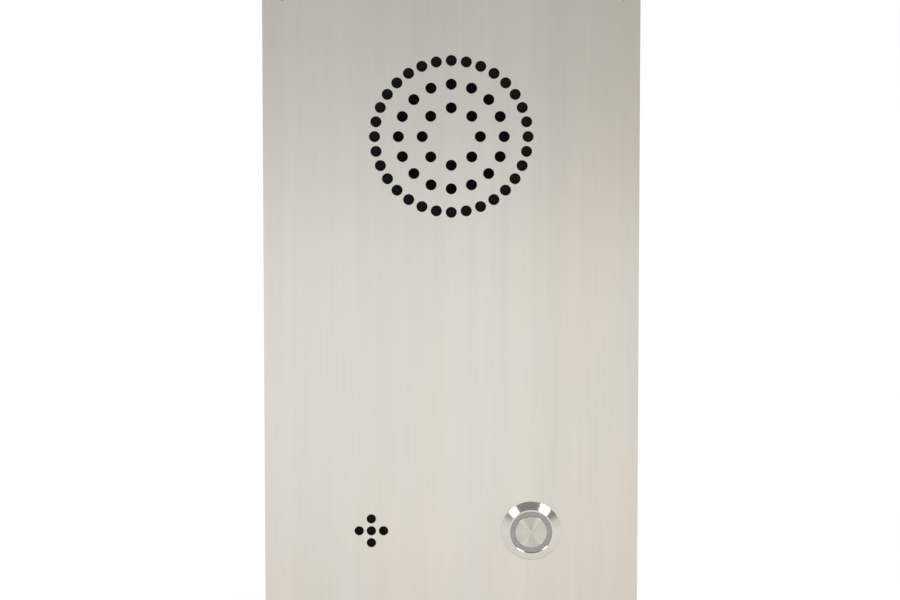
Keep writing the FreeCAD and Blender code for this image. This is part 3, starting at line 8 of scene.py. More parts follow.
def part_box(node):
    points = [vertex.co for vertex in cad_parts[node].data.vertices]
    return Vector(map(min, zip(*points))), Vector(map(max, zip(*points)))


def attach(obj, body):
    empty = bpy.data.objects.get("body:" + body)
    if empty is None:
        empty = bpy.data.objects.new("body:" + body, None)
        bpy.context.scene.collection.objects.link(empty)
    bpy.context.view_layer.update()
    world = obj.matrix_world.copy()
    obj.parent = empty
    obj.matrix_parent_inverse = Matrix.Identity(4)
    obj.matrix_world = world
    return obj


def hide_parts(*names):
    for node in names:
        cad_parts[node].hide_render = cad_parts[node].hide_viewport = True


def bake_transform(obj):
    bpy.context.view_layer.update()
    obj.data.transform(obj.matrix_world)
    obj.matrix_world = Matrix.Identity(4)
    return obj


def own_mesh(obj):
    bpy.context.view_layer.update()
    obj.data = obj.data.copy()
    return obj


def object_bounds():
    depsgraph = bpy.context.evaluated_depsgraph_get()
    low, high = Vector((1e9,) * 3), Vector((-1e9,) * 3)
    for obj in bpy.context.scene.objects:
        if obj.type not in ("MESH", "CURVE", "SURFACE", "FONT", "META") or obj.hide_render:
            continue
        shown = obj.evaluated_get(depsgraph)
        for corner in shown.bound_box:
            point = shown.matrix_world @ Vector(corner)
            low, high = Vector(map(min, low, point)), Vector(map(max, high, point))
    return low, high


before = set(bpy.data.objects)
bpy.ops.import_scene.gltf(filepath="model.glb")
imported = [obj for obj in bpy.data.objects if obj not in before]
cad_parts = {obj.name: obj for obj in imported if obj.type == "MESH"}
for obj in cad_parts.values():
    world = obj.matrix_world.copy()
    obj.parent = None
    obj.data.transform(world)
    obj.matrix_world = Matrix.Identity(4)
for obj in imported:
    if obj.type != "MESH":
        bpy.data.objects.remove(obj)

CAD_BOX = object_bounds()
MM = 0.001
TINY = 1e-6
TURN = 2 * pi
NUT_CHAMFER = 0.3


# Ways to build a node tree


class Nodes:
    """Short ways to add nodes to a tree and to link them."""

    def __init__(self, tree):
        self.tree = tree

    def feed(self, socket, value):
        if isinstance(value, bpy.types.NodeSocket):
            self.tree.links.new(value, socket)
        else:
            socket.default_value = value

    def add(self, kind, *values, **settings):
        """Adds a node, sets its properties, and feeds its inputs in order."""
        node = self.tree.nodes.new(f"ShaderNode{kind}")
        for name, value in settings.items():
            setattr(node, name, value)
        for socket, value in zip(node.inputs, values):
            self.feed(socket, value)
        return node

    def maths(self, operation, first, second=0.0):
        return self.add("Math", first, second, operation=operation).outputs[0]

    def times(self, first, second):
        return self.maths("MULTIPLY", first, second)

    def most(self, first, *others):
        for other in others:
            first = self.maths("MAXIMUM", first, other)
        return first

    def vector(self, operation, first, second=(0, 0, 0)):
        outputs = self.add("VectorMath", first, second, operation=operation).outputs
        return outputs["Value"] if operation in ("LENGTH", "DOT_PRODUCT") else outputs["Vector"]

    def parts(self, point):
        return self.add("SeparateXYZ", point).outputs

    def span(self, value, low, high, to_low=0.0, to_high=1.0):
        """Maps low..high to to_low..to_high and holds it there."""
        return self.add("MapRange", value, low, high, to_low, to_high).outputs[0]

    def mix(self, share, first, second, blend="MIX"):
        node = self.add("Mix", share, data_type="RGBA", blend_type=blend)
        for socket, colour in zip(node.inputs[6:8], (first, second)):
            self.feed(socket, (*colour, 1) if isinstance(colour, tuple) else colour)
        return node.outputs[2]


class Look(Nodes):
    """A material with one Principled shader and the textures before it."""

    def __init__(self, name, colour, roughness, metallic=0.0, **sockets):
        self.material = bpy.data.materials.new(name)
        self.material.use_nodes = True
        self.material.diffuse_color = (*colour, 1)
        super().__init__(self.material.node_tree)
        self.shader = self.tree.nodes["Principled BSDF"]
        self.colour = colour
        sockets.update(Base_Color=(*colour, 1), Roughness=roughness, Metallic=metallic)
        for socket, value in sockets.items():
            self.set(socket.replace("_", " "), value)

    def set(self, socket, value):
        self.feed(self.shader.inputs[socket], value)

    def place(self, scale=(1, 1, 1), centre=(0, 0, 0)):
        """The point on the object, from a centre and stretched along each axis."""
        point = self.add("TexCoord").outputs["Object"]
        return self.vector("MULTIPLY", self.vector("SUBTRACT", point, centre), scale)

    def noise(self, where, detail=3.0, roughness=0.5):
        """Noise at a point, or with so many grains a metre, alike or along each axis."""
        if not isinstance(where, bpy.types.NodeSocket):
            where = self.place(where if isinstance(where, tuple) else (where,) * 3)
        return self.add("TexNoise", where, 0.0, 1.0, detail, roughness).outputs[0]

    def tint(self, value, dark, light, low=0.3, high=0.7):
        """Takes the colour from one multiple of itself to another as a value rises. Returns it."""
        colours = [tuple(part * factor for part in self.colour) for factor in (dark, light)]
        tinted = self.mix(self.span(value, low, high), *colours)
        self.set("Base Color", tinted)
        return tinted

    def wear(self, value, smooth, rough, low=0.3, high=0.7):
        """Takes the roughness from smooth to rough as a value rises."""
        self.set("Roughness", self.span(value, low, high, smooth, rough))

    def bump(self, height, depth):
        """Raises the surface by up to a depth in metres where height is 1. Returns the look."""
        node = self.add("Bump")
        self.feed(node.inputs["Height"], height)
        self.feed(node.inputs["Distance"], depth)
        self.set("Normal", node.outputs[0])
        return self


# Metals

PANEL_STEEL = (0.738, 0.708, 0.649)
# Painted shade: factors that darken and warm the panel's colour towards its right edge and its foot
PANEL_SIDE_PAINTED_SHADE = (0.945, 0.924, 0.891)
PANEL_FOOT_PAINTED_SHADE = (0.99, 0.97, 0.95)
COOL_TINT, WARM_TINT = (0.985, 0.999, 1.022), (1.015, 1.001, 0.978)


def brushed_panel():
    """Stainless steel brushed along the panel's length, some of its streaks pinker. Painted shade makes it
    darker and warmer towards its right edge and its foot.
    """
    look = Look("brushed_panel", PANEL_STEEL, 0.28, 1.0, Anisotropic=1.0)
    hairs = look.noise((5200, 5200, 60), 2.0)
    streaks = look.noise((62, 62, 1.6), 6.0, 0.82)
    bands = look.noise((34, 34, 9), 3.0, 0.6)
    tone = look.maths("ADD", look.times(hairs, 0.2), look.times(streaks, 0.8))
    hue = look.mix(look.span(bands, 0.3, 0.7), COOL_TINT, WARM_TINT)
    x, _, z = look.parts(look.place())
    colour = look.mix(1.0, look.tint(tone, 0.94, 1.06), hue, "MULTIPLY")
    # Painted shade: darker and warmer towards the right edge
    colour = look.mix(look.span(x, 0.01, 0.069), colour, PANEL_SIDE_PAINTED_SHADE, "MULTIPLY")
    # Painted shade: a little darker and warmer towards the bottom
    colour = look.mix(look.span(z, -0.05, -0.1), colour, PANEL_FOOT_PAINTED_SHADE, "MULTIPLY")
    look.set("Base Color", colour)
    look.wear(tone, 0.277, 0.295)
    look.set("Tangent", look.add("CombineXYZ", 1.0).outputs[0])
    return look.bump(hairs, 0.000002)


BUTTON_X, CONTROLS_Z = 29.5, -83.5
BUTTON_CENTRE = (BUTTON_X * MM, 0, CONTROLS_Z * MM)


def turned_metal(name, colour, roughness, anisotropy, rings):
    """Metal turned about the button's axis: fine rings, stretched highlights."""
    look = Look(name, colour, roughness, 1.0, Anisotropic=anisotropy)
    flat = look.place((1, 0, 1), BUTTON_CENTRE)
    radius = look.vector("LENGTH", flat)
    grooves = look.noise(look.add("CombineXYZ", look.times(radius, rings)).outputs[0], 2.0)
    look.tint(grooves, 0.94, 1.04)
    look.wear(look.noise(260, 2.0), roughness * 0.88, roughness * 1.12)
    look.set("Tangent", look.vector("NORMALIZE", flat))
    return look.bump(grooves, 0.000002)


def plated(name, colour, roughness=0.32):
    """Zinc, nickel or tin plating: a faint mottle and small scuffs."""
    look = Look(name, colour, roughness, 1.0)
    mottle = look.noise(900, 4.0)
    look.tint(mottle, 0.92, 1.04)
    look.wear(look.noise((300, 2600, 300), 2.0), roughness * 0.85, roughness * 1.2)
    return look.bump(mottle, 0.000004)


def solder_metal():
    """Bright tin alloy, slightly crazed where it set."""
    look = Look("solder", (0.72, 0.71, 0.68), 0.22, 1.0)
    skin = look.noise(1400)
    look.set("Base Color", look.mix(look.span(skin, 0.3, 0.7), (0.60, 0.59, 0.56), (0.78, 0.77, 0.74)))
    look.wear(skin, 0.16, 0.36, 0.35)
    return look.bump(skin, 0.00003)


def painted_metal(name, colour):
    """Satin black paint with a slight orange peel."""
    look = Look(name, colour, 0.42, Coat_Weight=0.15, Coat_Roughness=0.3)
    greying = look.noise(120, 5.0)
    look.tint(greying, 1, 1.7, 0.45, 0.75)
    look.wear(greying, 0.36, 0.52)
    return look.bump(look.noise(1500, 2.0), 0.00002)


def enamelled_wire(name, colour, pitch):
    """A layer of wound wire along the front-to-rear axis, under clear varnish."""
    look = Look(name, colour, 0.3, 0.9, Coat_Weight=0.5, Coat_Roughness=0.15)
    depth = look.parts(look.place((1, TURN / pitch, 1)))[1]
    look.tint(look.noise(420), 0.75, 1.1)
    return look.bump(look.span(look.maths("SINE", depth), -1.0, 1.0), pitch / 3)


# Plastics, rubber, paper and cloth


def plastic(name, colour, roughness=0.45, grain=0.00001):
    look = Look(name, colour, roughness)
    texture = look.noise(4200, 2.0)
    look.tint(look.noise(90), 0.9, 1.08)
    look.wear(texture, roughness * 0.85, roughness * 1.15)
    return look.bump(texture, grain)


def foam_rubber(name, colour):
    """Closed-cell foam: small open cells on its cut faces."""
    look = Look(name, colour, 0.85, Sheen_Weight=0.1)
    cells = look.add("TexVoronoi", look.place(), 0.0, 2600)
    look.tint(look.noise(220, 4.0), 1, 1.35, 0.3, 0.75)
    return look.bump(look.span(cells.outputs["Distance"], 0.0, 0.6), 0.00008)


def moulded_rubber(name, colour):
    look = Look(name, colour, 0.6)
    bloom = look.noise(160, 4.0)
    look.tint(bloom, 1, 1.9, 0.4, 0.75)
    look.wear(bloom, 0.5, 0.72)
    return look.bump(look.noise(2400), 0.00002)


def woven_mesh(name, colour, pitch, sheen=0.0):
    """Plain weave in the panel's plane: threads over and under at a pitch in metres."""
    look = Look(name, colour, 0.7, Sheen_Weight=sheen, Specular_IOR_Level=0.1)
    turns = TURN / pitch
    x, _, z = look.parts(look.place((turns,) * 3))
    crossed = []
    for run, over in ((x, z), (z, x)):
        thread = look.times(look.maths("SINE", run), look.maths("SINE", look.times(over, 0.5)))
        crossed.append(look.maths("ABSOLUTE", thread))
    threads = look.most(*crossed)
    look.tint(threads, 0.15, 1, 0.2, 0.9)
    return look.bump(threads, pitch / 5)


def grille_cloth(name, middle_tone, rim_tone, centre, radius):
    """Black woven cloth, darker in the middle and greyer towards the rim of the grille."""
    look = woven_mesh(name, (rim_tone,) * 3, CLOTH_PITCH)
    weave = look.shader.inputs["Base Color"].links[0].from_socket
    out = look.vector("LENGTH", look.place((1, 0, 1), centre))
    share = middle_tone / rim_tone
    # The cloth grows greyer from the middle out to the rim
    greying = look.mix(look.span(out, radius * 0.9, radius * 1.2), (share,) * 3, (1.0,) * 3)
    look.set("Base Color", look.mix(1.0, weave, greying, "MULTIPLY"))
    return look


def pulp_paper(name, colour):
    """Pressed paper pulp: matted fibres and a slight sheen."""
    look = Look(name, colour, 0.82, Sheen_Weight=0.15)
    fibres = look.noise((1500, 4200, 1500), 5.0, 0.65)
    look.tint(fibres, 1, 2.2, 0.35)
    return look.bump(fibres, 0.00008)


def ferrite(name, colour):
    """Ground ceramic magnet: fine speckle and grinding marks."""
    look = Look(name, colour, 0.5)
    grinding = look.noise((420, 4000, 60), 2.0)
    look.tint(look.noise(3800, 4.0), 1, 1.6, 0.4)
    look.wear(grinding, 0.42, 0.66)
    return look.bump(grinding, 0.00003)


def laminate(name, colour):
    """Glass-fibre board under green solder mask, the weave just showing."""
    look = Look(name, colour, 0.3, Coat_Weight=0.4, Coat_Roughness=0.18)
    pools = look.noise(140)
    look.tint(pools, 0.82, 1.15)
    look.wear(pools, 0.25, 0.38)
    return look.bump(look.add("TexChecker", look.place((2600, 1, 2600))).outputs["Fac"], 0.000006)


def laminations(name, colour):
    """A stack of varnished steel sheets, seen on edge."""
    look = Look(name, colour, 0.45, 0.8)
    sheets = look.add("TexWave", look.place(), 640, wave_type="BANDS", bands_direction="Z").outputs["Fac"]
    varnish = look.tint(look.noise(260, 4.0), 0.88, 1.12, 0.3, 0.75)
    look.set("Base Color", look.mix(look.span(sheets, 0.0, 0.5), (0.03, 0.028, 0.026), varnish))
    return look.bump(sheets, 0.00006)


def clear_ring(name, colour):
    """Translucent plastic, frosted behind."""
    look = Look(name, colour, 0.32, Coat_Weight=0.2, Coat_Roughness=0.12)
    frost = look.noise(500, 2.0)
    look.tint(frost, 0.94, 1.06)
    look.wear(frost, 0.28, 0.36)
    return look


# Finishes


def dress(look, *nodes):
    """Gives CAD nodes their finish."""
    for node in nodes:
        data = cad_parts[node].data
        data.materials.clear()
        data.materials.append(look.material)


SPEAKER_Z = 63.8
SPEAKER_CENTRE = (0, 0, SPEAKER_Z * MM)
CLOTH_PITCH = 0.0006
PANEL = brushed_panel()
HEAD = turned_metal("turned_head", (0.68, 0.645, 0.585), 0.17, 0.55, 9000)
CAP = turned_metal("turned_cap", (0.645, 0.605, 0.545), 0.33, 0.96, 7000)
# Dull cut steel for the hole walls, its dark colour painted shade inside the holes
CUT_STEEL_PAINTED_SHADE = plated("cut_steel_painted_shade", (0.22, 0.21, 0.195), 0.4)
ZINC_PLATE = plated("zinc_plate", (0.66, 0.66, 0.64))
NICKEL = plated("nickel_plate", (0.68, 0.65, 0.59), 0.26)
BRASS = plated("brass", (0.76, 0.56, 0.26), 0.28)
TINNED = plated("tinned", (0.74, 0.72, 0.66), 0.28)
ALUMINIUM = plated("etched_aluminium", (0.78, 0.78, 0.79), 0.38)
SPRING_STEEL = plated("spring_wire", (0.62, 0.62, 0.61), 0.25)
SOLDER = solder_metal()
BOOT = moulded_rubber("boot_rubber", (0.03, 0.03, 0.032))
SHRINK_SLEEVE = moulded_rubber("shrink_sleeve", (0.018, 0.018, 0.02))
SPIDER_CLOTH = woven_mesh("spider_cloth", (0.42, 0.27, 0.10), 0.0008, 0.2)
BLACK = plastic("black_plastic", (0.022, 0.022, 0.024))
SLEEVE = plastic("can_sleeve", (0.02, 0.03, 0.09), 0.28)
CERAMIC = plastic("ceramic", (0.42, 0.30, 0.19), 0.4)
BOBBIN_NYLON = plastic("bobbin_nylon", (0.05, 0.048, 0.045), 0.4)
TAPE = plastic("polyester_tape", (0.70, 0.48, 0.06), 0.22, 0.000004)
STRIPE_INK = plastic("stripe_ink", (0.50, 0.52, 0.54), 0.5)
WHITE_INK = plastic("white_ink", (0.75, 0.75, 0.72), 0.55)
TRACK_MASK = laminate("track_mask", (0.03, 0.19, 0.075))
LEAD_COLOURS = {
    "red": (0.42, 0.02, 0.015),
    "black": (0.018, 0.018, 0.018),
    "white": (0.72, 0.71, 0.68),
    "grey": (0.25, 0.25, 0.25),
    "yellow": (0.72, 0.47, 0.02),
    "blue": (0.02, 0.08, 0.36),
    "green": (0.10, 0.30, 0.03),
}
LEADS = {name: plastic(f"lead_{name}", colour, 0.35) for name, colour in LEAD_COLOURS.items()}

dress(CAP, "button_cap")
dress(clear_ring("light_ring", (0.322, 0.322, 0.319)), "button_light_ring")
dress(grille_cloth("speaker_cloth", 0.0072, 0.036, SPEAKER_CENTRE, 0.022), "speaker_mesh")
dress(woven_mesh("microphone_cloth", (0.04, 0.039, 0.037), CLOTH_PITCH), "microphone_mesh")
dress(foam_rubber("gasket_foam", (0.03, 0.03, 0.031)), "panel_gasket", "speaker_gasket", "button_seal")
dress(BOOT, "microphone_boot")
dress(ZINC_PLATE, "speaker_clips", "microphone_bracket", "speaker_front_washer", "speaker_yoke")
dress(ZINC_PLATE, "button_lock_washer")
dress(painted_metal("basket_paint", (0.022, 0.022, 0.024)), "speaker_basket")
dress(pulp_paper("cone_pulp", (0.028, 0.028, 0.028)), "speaker_cone", "speaker_dust_cap")
dress(enamelled_wire("coil_wire", (0.72, 0.30, 0.13), 0.00018), "voice_coil")
dress(ferrite("magnet_ferrite", (0.045, 0.045, 0.048)), "speaker_magnet")
dress(pulp_paper("strip_fibre", (0.22, 0.11, 0.05)), "speaker_terminal_strip")
dress(TINNED, "speaker_solder_tags", "button_pins", "contact_bridge", "earth_lug", "board_standoffs")
dress(plated("capsule_can", (0.74, 0.75, 0.76), 0.3), "microphone_capsule")
dress(BLACK, "button_plunger", "contact_block", "contact_base", "hook_relay")
dress(laminate("solder_mask", (0.015, 0.115, 0.045)), "main_board", "button_lamp_board")
dress(laminations("core_sheets", (0.16, 0.15, 0.14)), "transformer_core")
dress(plastic("film_case", (0.45, 0.05, 0.03), 0.3), "film_capacitor")
dress(plastic("terminal_green", (0.03, 0.22, 0.08)), "terminal_block")
dress(plastic("header_white", (0.75, 0.73, 0.66)), "lead_headers", "lead_plugs")
dress(plastic("trimmer_blue", (0.03, 0.09, 0.36)), "trimmer_bases")
dress(plastic("rotor_white", (0.78, 0.77, 0.72)), "volume_rotor", "gain_rotor")


# Stage: the camera, a pale floor, soft lamps and the room's light

CAMERA_ELEVATION = radians(10.54)
CAMERA_DISTANCE = 2.1078
CAMERA_TARGET = Vector((-0.00046, -0.002, 0.0032))
PIXEL_FOCAL_LENGTH = 5750
IMAGE_WIDTH = 900
SENSOR_WIDTH = 36.0
FLOOR_Z = CAD_BOX[0].z
FLOOR_REACH = 12
FLOOR_CENTRE = (-0.1, 0, 0)
FLOOR_SLANT = (-0.45, 1.0, 0.0)
FLOOR_GLOW, FLOOR_GLOW_SHARE = 1.03, 0.92
HORIZON, OVERHEAD = (0.92, 0.92, 0.92), (0.33, 0.318, 0.318)


def add_object(name, data):
    """A new object in the scene, turned by a quaternion."""
    thing = bpy.data.objects.new(name, data)
    bpy.context.collection.objects.link(thing)
    thing.rotation_mode = "QUATERNION"
    return thing


def make_camera():
    camera = add_object("camera", bpy.data.cameras.new("camera"))
    camera.data.sensor_width = SENSOR_WIDTH
    camera.data.lens = PIXEL_FOCAL_LENGTH * SENSOR_WIDTH / IMAGE_WIDTH
    camera.data.clip_start, camera.data.clip_end = 0.05, 50
    back = Vector((0, -cos(CAMERA_ELEVATION), sin(CAMERA_ELEVATION)))
    camera.location = CAMERA_TARGET + back * CAMERA_DISTANCE
    camera.rotation_quaternion = (-back).to_track_quat("-Z", "Y")
    bpy.context.scene.camera = camera


def make_floor():
    """A large white floor that keeps the shadow, with a painted shadow round the object's foot. Its
    reflections grow greyer far in front.
    """
    mesh = bpy.data.meshes.new("floor")
    sides = ((-1, -1), (1, -1), (1, 1), (-1, 1))
    mesh.from_pydata([(x * FLOOR_REACH, y * FLOOR_REACH, FLOOR_Z) for x, y in sides], [], [(0, 1, 2, 3)])
    add_object("floor", mesh)
    look = Look("floor_paper", (0.9, 0.9, 0.9), 0.9)
    spot = look.place(centre=FLOOR_CENTRE)
    depth = look.vector("DOT_PRODUCT", spot, FLOOR_SLANT)
    near = look.span(depth, -1.034, -1.0, 0.745, 1.0)
    far = look.span(depth, -2.47, -1.034, 0.56, 1.0)
    aside = look.span(look.maths("ABSOLUTE", look.parts(spot)[0]), 0.7, 1.5)
    # Painted shadow: the floor's glow dims within 15 cm of the object's foot, also where the camera sees the
    # floor
    foot = look.span(look.vector("LENGTH", look.place((1, 1, 0))), 0.0, 0.15, 0.955, 1.0)
    rays = look.add("LightPath").outputs
    seen = look.most(rays["Is Camera Ray"], rays["Is Glossy Ray"], rays["Is Transmission Ray"])
    grey = look.times(foot, look.most(aside, look.times(near, far), rays["Is Camera Ray"]))
    glow = look.add("Emission", grey, FLOOR_GLOW).outputs[0]
    share = look.times(seen, FLOOR_GLOW_SHARE)
    both = look.add("MixShader", share, look.shader.outputs[0], glow)
    look.feed(look.tree.nodes["Material Output"].inputs[0], both.outputs[0])
    mesh.materials.append(look.material)


def make_lamp(name, start, end, distance, width, power):
    """A soft lamp that faces the object, its long side from one direction to another."""
    lamp = add_object(name, bpy.data.lights.new(name, "AREA"))
    start, end = Vector(start).normalized(), Vector(end).normalized()
    away = (start + end).normalized()
    along = (end - start).normalized()
    lamp.data.shape = "RECTANGLE"
    lamp.data.size, lamp.data.size_y = (end - start).length * distance, width
    lamp.data.energy = power
    lamp.location = away * distance
    lamp.rotation_quaternion = Matrix((along, away.cross(along), away)).transposed().to_quaternion()


def make_world():
    """A studio that is white round the horizon and darker and warmer overhead."""
    world = bpy.data.worlds.new("studio")
    bpy.context.scene.world = world
    world.use_nodes = True
    sky = Nodes(world.node_tree)
    height = sky.parts(sky.add("TexCoord").outputs["Generated"])[2]
    colour = sky.mix(sky.span(height, 0.17, 0.40), HORIZON, OVERHEAD)
    sky.feed(sky.tree.nodes["Background"].inputs["Color"], colour)


# Ways to build a mesh, in millimetres on the part's own axes: X right, Y to the rear, Z up


def box_of(low, high):
    """A box: its lowest and highest corners, and the x and z of its middle."""
    x, _, z = (low + high) / 2
    return low, high, x, z


def limits(node):
    """The box of a CAD node."""
    return box_of(*(Vector(corner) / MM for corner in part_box(node)))


def solids(node):
    """The box of each separate solid of a CAD node, from left to right."""
    mesh = bmesh.new()
    mesh.from_mesh(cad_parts[node].data)
    bmesh.ops.remove_doubles(mesh, verts=mesh.verts, dist=TINY)
    left = set(mesh.verts)
    boxes = []
    while left:
        group = [left.pop()]
        for vert in group:
            near = {edge.other_vert(vert) for edge in vert.link_edges} & left
            left -= near
            group.extend(near)
        sides = list(zip(*(vert.co / MM for vert in group)))
        boxes.append(box_of(Vector(map(min, sides)), Vector(map(max, sides))))
    mesh.free()
    return sorted(boxes, key=lambda box: (round(box[0].x, 1), round(box[0].z, 1)))


def around(x, z, radius, turn, y):
    """A point at a radius and an angle about a line from front to rear through x, z."""
    return (x + radius * cos(turn), y, z + radius * sin(turn))


def circle(x, z, radius, steps):
    """Points of a circle in the panel's plane, as (x, z)."""
    return [around(x, z, radius, TURN * step / steps, 0)[::2] for step in range(steps)]


def spaced(count, pitch):
    """Places at a pitch, the same to both sides of nought."""
    return [(step - (count - 1) / 2) * pitch for step in range(count)]


def offset(radius, y, *points):
    """Points of a profile, as (radius, y), given from one place on it."""
    return [(radius + out, y + back) for out, back in points]


class Form:
    """A mesh that is built face by face and then placed in the scene as one piece."""

    def __init__(self):
        self.mesh = bmesh.new()

    def row(self, points):
        return [self.mesh.verts.new(point) for point in points]

    def face(self, corners):
        corners = list(dict.fromkeys(corners))
        if len(corners) > 2:
            self.mesh.faces.new(corners)

    def join(self, first, second, closed=True):
        """Faces between two rows of points. A row of one point is a tip."""
        count = max(len(first), len(second))
        for here in range(count if closed else count - 1):
            there = (here + 1) % count
            bottom = [first[here % len(first)], first[there % len(first)]]
            self.face(bottom + [second[there % len(second)], second[here % len(second)]])

    def skin(self, rows, closed=False):
        """Faces from each row to the next, and back to the first where closed."""
        rows = [self.row(points) for points in rows]
        for first, second in zip(rows, rows[1:] + (rows[:1] if closed else [])):
            self.join(first, second)
        return rows

    def turn(self, profile, x, z, steps, closed=False):
        """Revolves a profile of (radius, y) about a line from front to rear through x, z."""
        rows = []
        for radius, y in profile:
            count = steps if radius else 1
            rows.append([around(x, z, radius, TURN * step / steps, y) for step in range(count)])
        self.skin(rows, closed)

    def sector(self, profile, x, z, first, last, steps):
        """Revolves an open profile of (radius, y) through part of a turn."""
        turns = [first + (last - first) * step / steps for step in range(steps + 1)]
        rows = [self.row([around(x, z, radius, turn, y) for turn in turns]) for radius, y in profile]
        for low, high in zip(rows, rows[1:]):
            self.join(low, high, closed=False)

    def thread(self, x, z, start, end, root, crest, pitch, steps):
        """A screw thread: a helical ridge that rises and dies away over a turn at each end."""
        last = int((end - start) / pitch - 1) * steps

        def point(step, radius, lift):
            return around(x, z, radius, TURN * step / steps, start + pitch * (step / steps + lift))

        def ridge(step):
            return root + (crest - root) * min(1, step / steps, (last - step) / steps)

        roots = self.row([point(step, root, 0) for step in range(last + steps + 1)])
        crests = self.row([point(step, ridge(step), 0.5) for step in range(last + 1)])
        for step in range(last):
            self.face([roots[step], roots[step + 1], crests[step + 1], crests[step]])
            self.face([crests[step], crests[step + 1], roots[step + steps + 1], roots[step + steps]])

    def nut(self, box, flats, bore, first, steps=72):
        """A hexagonal nut in a box, with turned corners and a countersunk bore."""
        low, high, x, z = box
        start, end = low.y, high.y
        turns = [TURN * step / steps for step in range(steps)]
        sixth = pi / 3
        reach = [flats / 2 / cos((turn + first + sixth / 2) % sixth - sixth / 2) for turn in turns]
        face = flats / 2 * 0.965

        def ring(radius, y):
            return [around(x, z, radius, turn, y) for turn in turns]

        def hexagon(y, way):
            rise = way * tan(sixth / 2)
            return [around(x, z, out, turn, y + rise * (out - face)) for turn, out in zip(turns, reach)]

        rows = [ring(bore, start + NUT_CHAMFER), ring(bore + NUT_CHAMFER, start), ring(face, start)]
        rows += [hexagon(start, 1), hexagon(end, -1), ring(face, end)]
        self.skin(rows + [ring(bore + NUT_CHAMFER, end), ring(bore, end - NUT_CHAMFER)], closed=True)

    def block(self, low, high, bevel, segments=2):
        """A block between two corners, all its edges softened."""
        low, high = Vector(low), Vector(high)
        stretch = Matrix.LocRotScale((low + high) / 2, None, high - low)
        made = bmesh.ops.create_cube(self.mesh, size=1, matrix=stretch)
        edges = list({edge for vert in made["verts"] for edge in vert.link_edges})
        bmesh.ops.bevel(self.mesh, geom=edges, offset=bevel, segments=segments, profile=0.5, affect="EDGES")

    def tube(self, rows):
        """A skin over rows of points with a face at each end."""
        rows = self.skin(rows)
        self.face(rows[0])
        self.face(rows[-1])

    def piece(self, name, look, *nodes, **settings):
        """Places the mesh in the scene, riding on a body, in place of CAD nodes."""
        bmesh.ops.recalc_face_normals(self.mesh, faces=self.mesh.faces)
        bmesh.ops.scale(self.mesh, vec=(MM,) * 3, verts=self.mesh.verts)
        data = bpy.data.meshes.new(name)
        self.mesh.to_mesh(data)
        self.mesh.free()
        return show(name, data, look, *nodes, **settings)


def show(name, data, look, *nodes, body="panel", sharp=32):
    """Puts a mesh in the scene, smooth but for edges sharper than an angle in degrees."""
    data.materials.append(look.material)
    data.shade_smooth()
    data.set_sharp_from_angle(angle=radians(sharp))
    thing = add_object(name, data)
    if body:
        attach(thing, body)
    if nodes:
        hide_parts(*nodes)
    return thing


# Leads: each a curve from its soldered end into its plug on the board

LEAD_DIAMETER = 1.3
LEAD_REAR, BUTTON_LEAD_REAR = 31.5, 37.9
TAG_X, TAG_Z = 4.5, 24.8
PAD_X, MICROPHONE_PLUG_X, BUTTON_PLUG_X = 1.3, -32, 32
PLUG_Y, TOP_PLUG_Z, LOW_PLUG_Z = 17.0, 14.5, -60.5
BUTTON_PLUG_PITCH = 2.1
BUTTON_PIN_Y = 28.15
BUTTON_PINS = ((-3.8, 0.0), (0.0, 7.3), (0.0, -7.3), (3.8, 0.0))
EARTH_ROUTE = [(-48.75, 1.5, 32.2), (-48.75, 1.5, 23), (-48.75, 24, 23), (-38, 24, 14), (-38, 10.8, 14)]
SPEAKER_LEAD, MICROPHONE_LEAD, EARTH_LEAD = 43.9, 51.5, 48.3
BUTTON_LEADS = (44.3, 38.8, 50.1, 44.2)


def make_lead(name, colour, node, points, length):
    """One lead along a smooth line that its points, in millimetres, control."""
    curve = bpy.data.curves.new(name, "CURVE")
    curve.dimensions = "3D"
    curve.bevel_depth, curve.bevel_resolution, curve.resolution_u = LEAD_DIAMETER / 2 * MM, 4, 16
    spline = curve.splines.new("NURBS")
    spline.points.add(len(points) - 1)
    for control, point in zip(spline.points, points):
        control.co = (*(side * MM for side in point), 1)
    spline.order_u = 3
    spline.use_endpoint_u = True
    curve.use_fill_caps = True
    curve.materials.append(LEADS[colour].material)
    lead = add_object(name, curve)
    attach(lead, "panel")
    start = tuple(side * MM for side in points[0])
    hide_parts(node)


def looped(x, y, z, rear, end_x, end_z):
    """A lead's route: straight back from its soldered end, over, and straight into its plug."""
    return [(x, y, z), (x, rear, z), (end_x, rear, end_z), (end_x, PLUG_Y, end_z)]


def make_leads():
    """The speaker's and the microphone's pairs, the button's four, and the earth lead."""
    for number, side, colour in ((1, -1, "black"), (2, 1, "red")):
        route = looped(side * TAG_X, 6.2, TAG_Z, LEAD_REAR, side * PAD_X, TOP_PLUG_Z)
        make_lead(f"speaker_lead_{number}", colour, "speaker_leads", route, SPEAKER_LEAD)
    for number, side, colour in ((1, -1, "white"), (2, 1, "grey")):
        x, end = side * PAD_X - BUTTON_X, side * PAD_X + MICROPHONE_PLUG_X
        route = looped(x, 8.6, CONTROLS_Z, LEAD_REAR + 1, end, LOW_PLUG_Z)
        make_lead(f"microphone_lead_{number}", colour, "microphone_leads", route, MICROPHONE_LEAD)
    colours = ("red", "yellow", "blue", "black")
    for step, ((x, z), colour, length) in enumerate(zip(BUTTON_PINS, colours, BUTTON_LEADS)):
        end = BUTTON_PLUG_X + (step - 1.5) * BUTTON_PLUG_PITCH
        route = looped(BUTTON_X + x, BUTTON_PIN_Y, CONTROLS_Z + z, BUTTON_LEAD_REAR, end, LOW_PLUG_Z)
        make_lead(f"button_lead_{step + 1}", colour, "button_leads", route, length)
    make_lead("earth_wire", "green", "earth_lead", EARTH_ROUTE, EARTH_LEAD)


# Panel

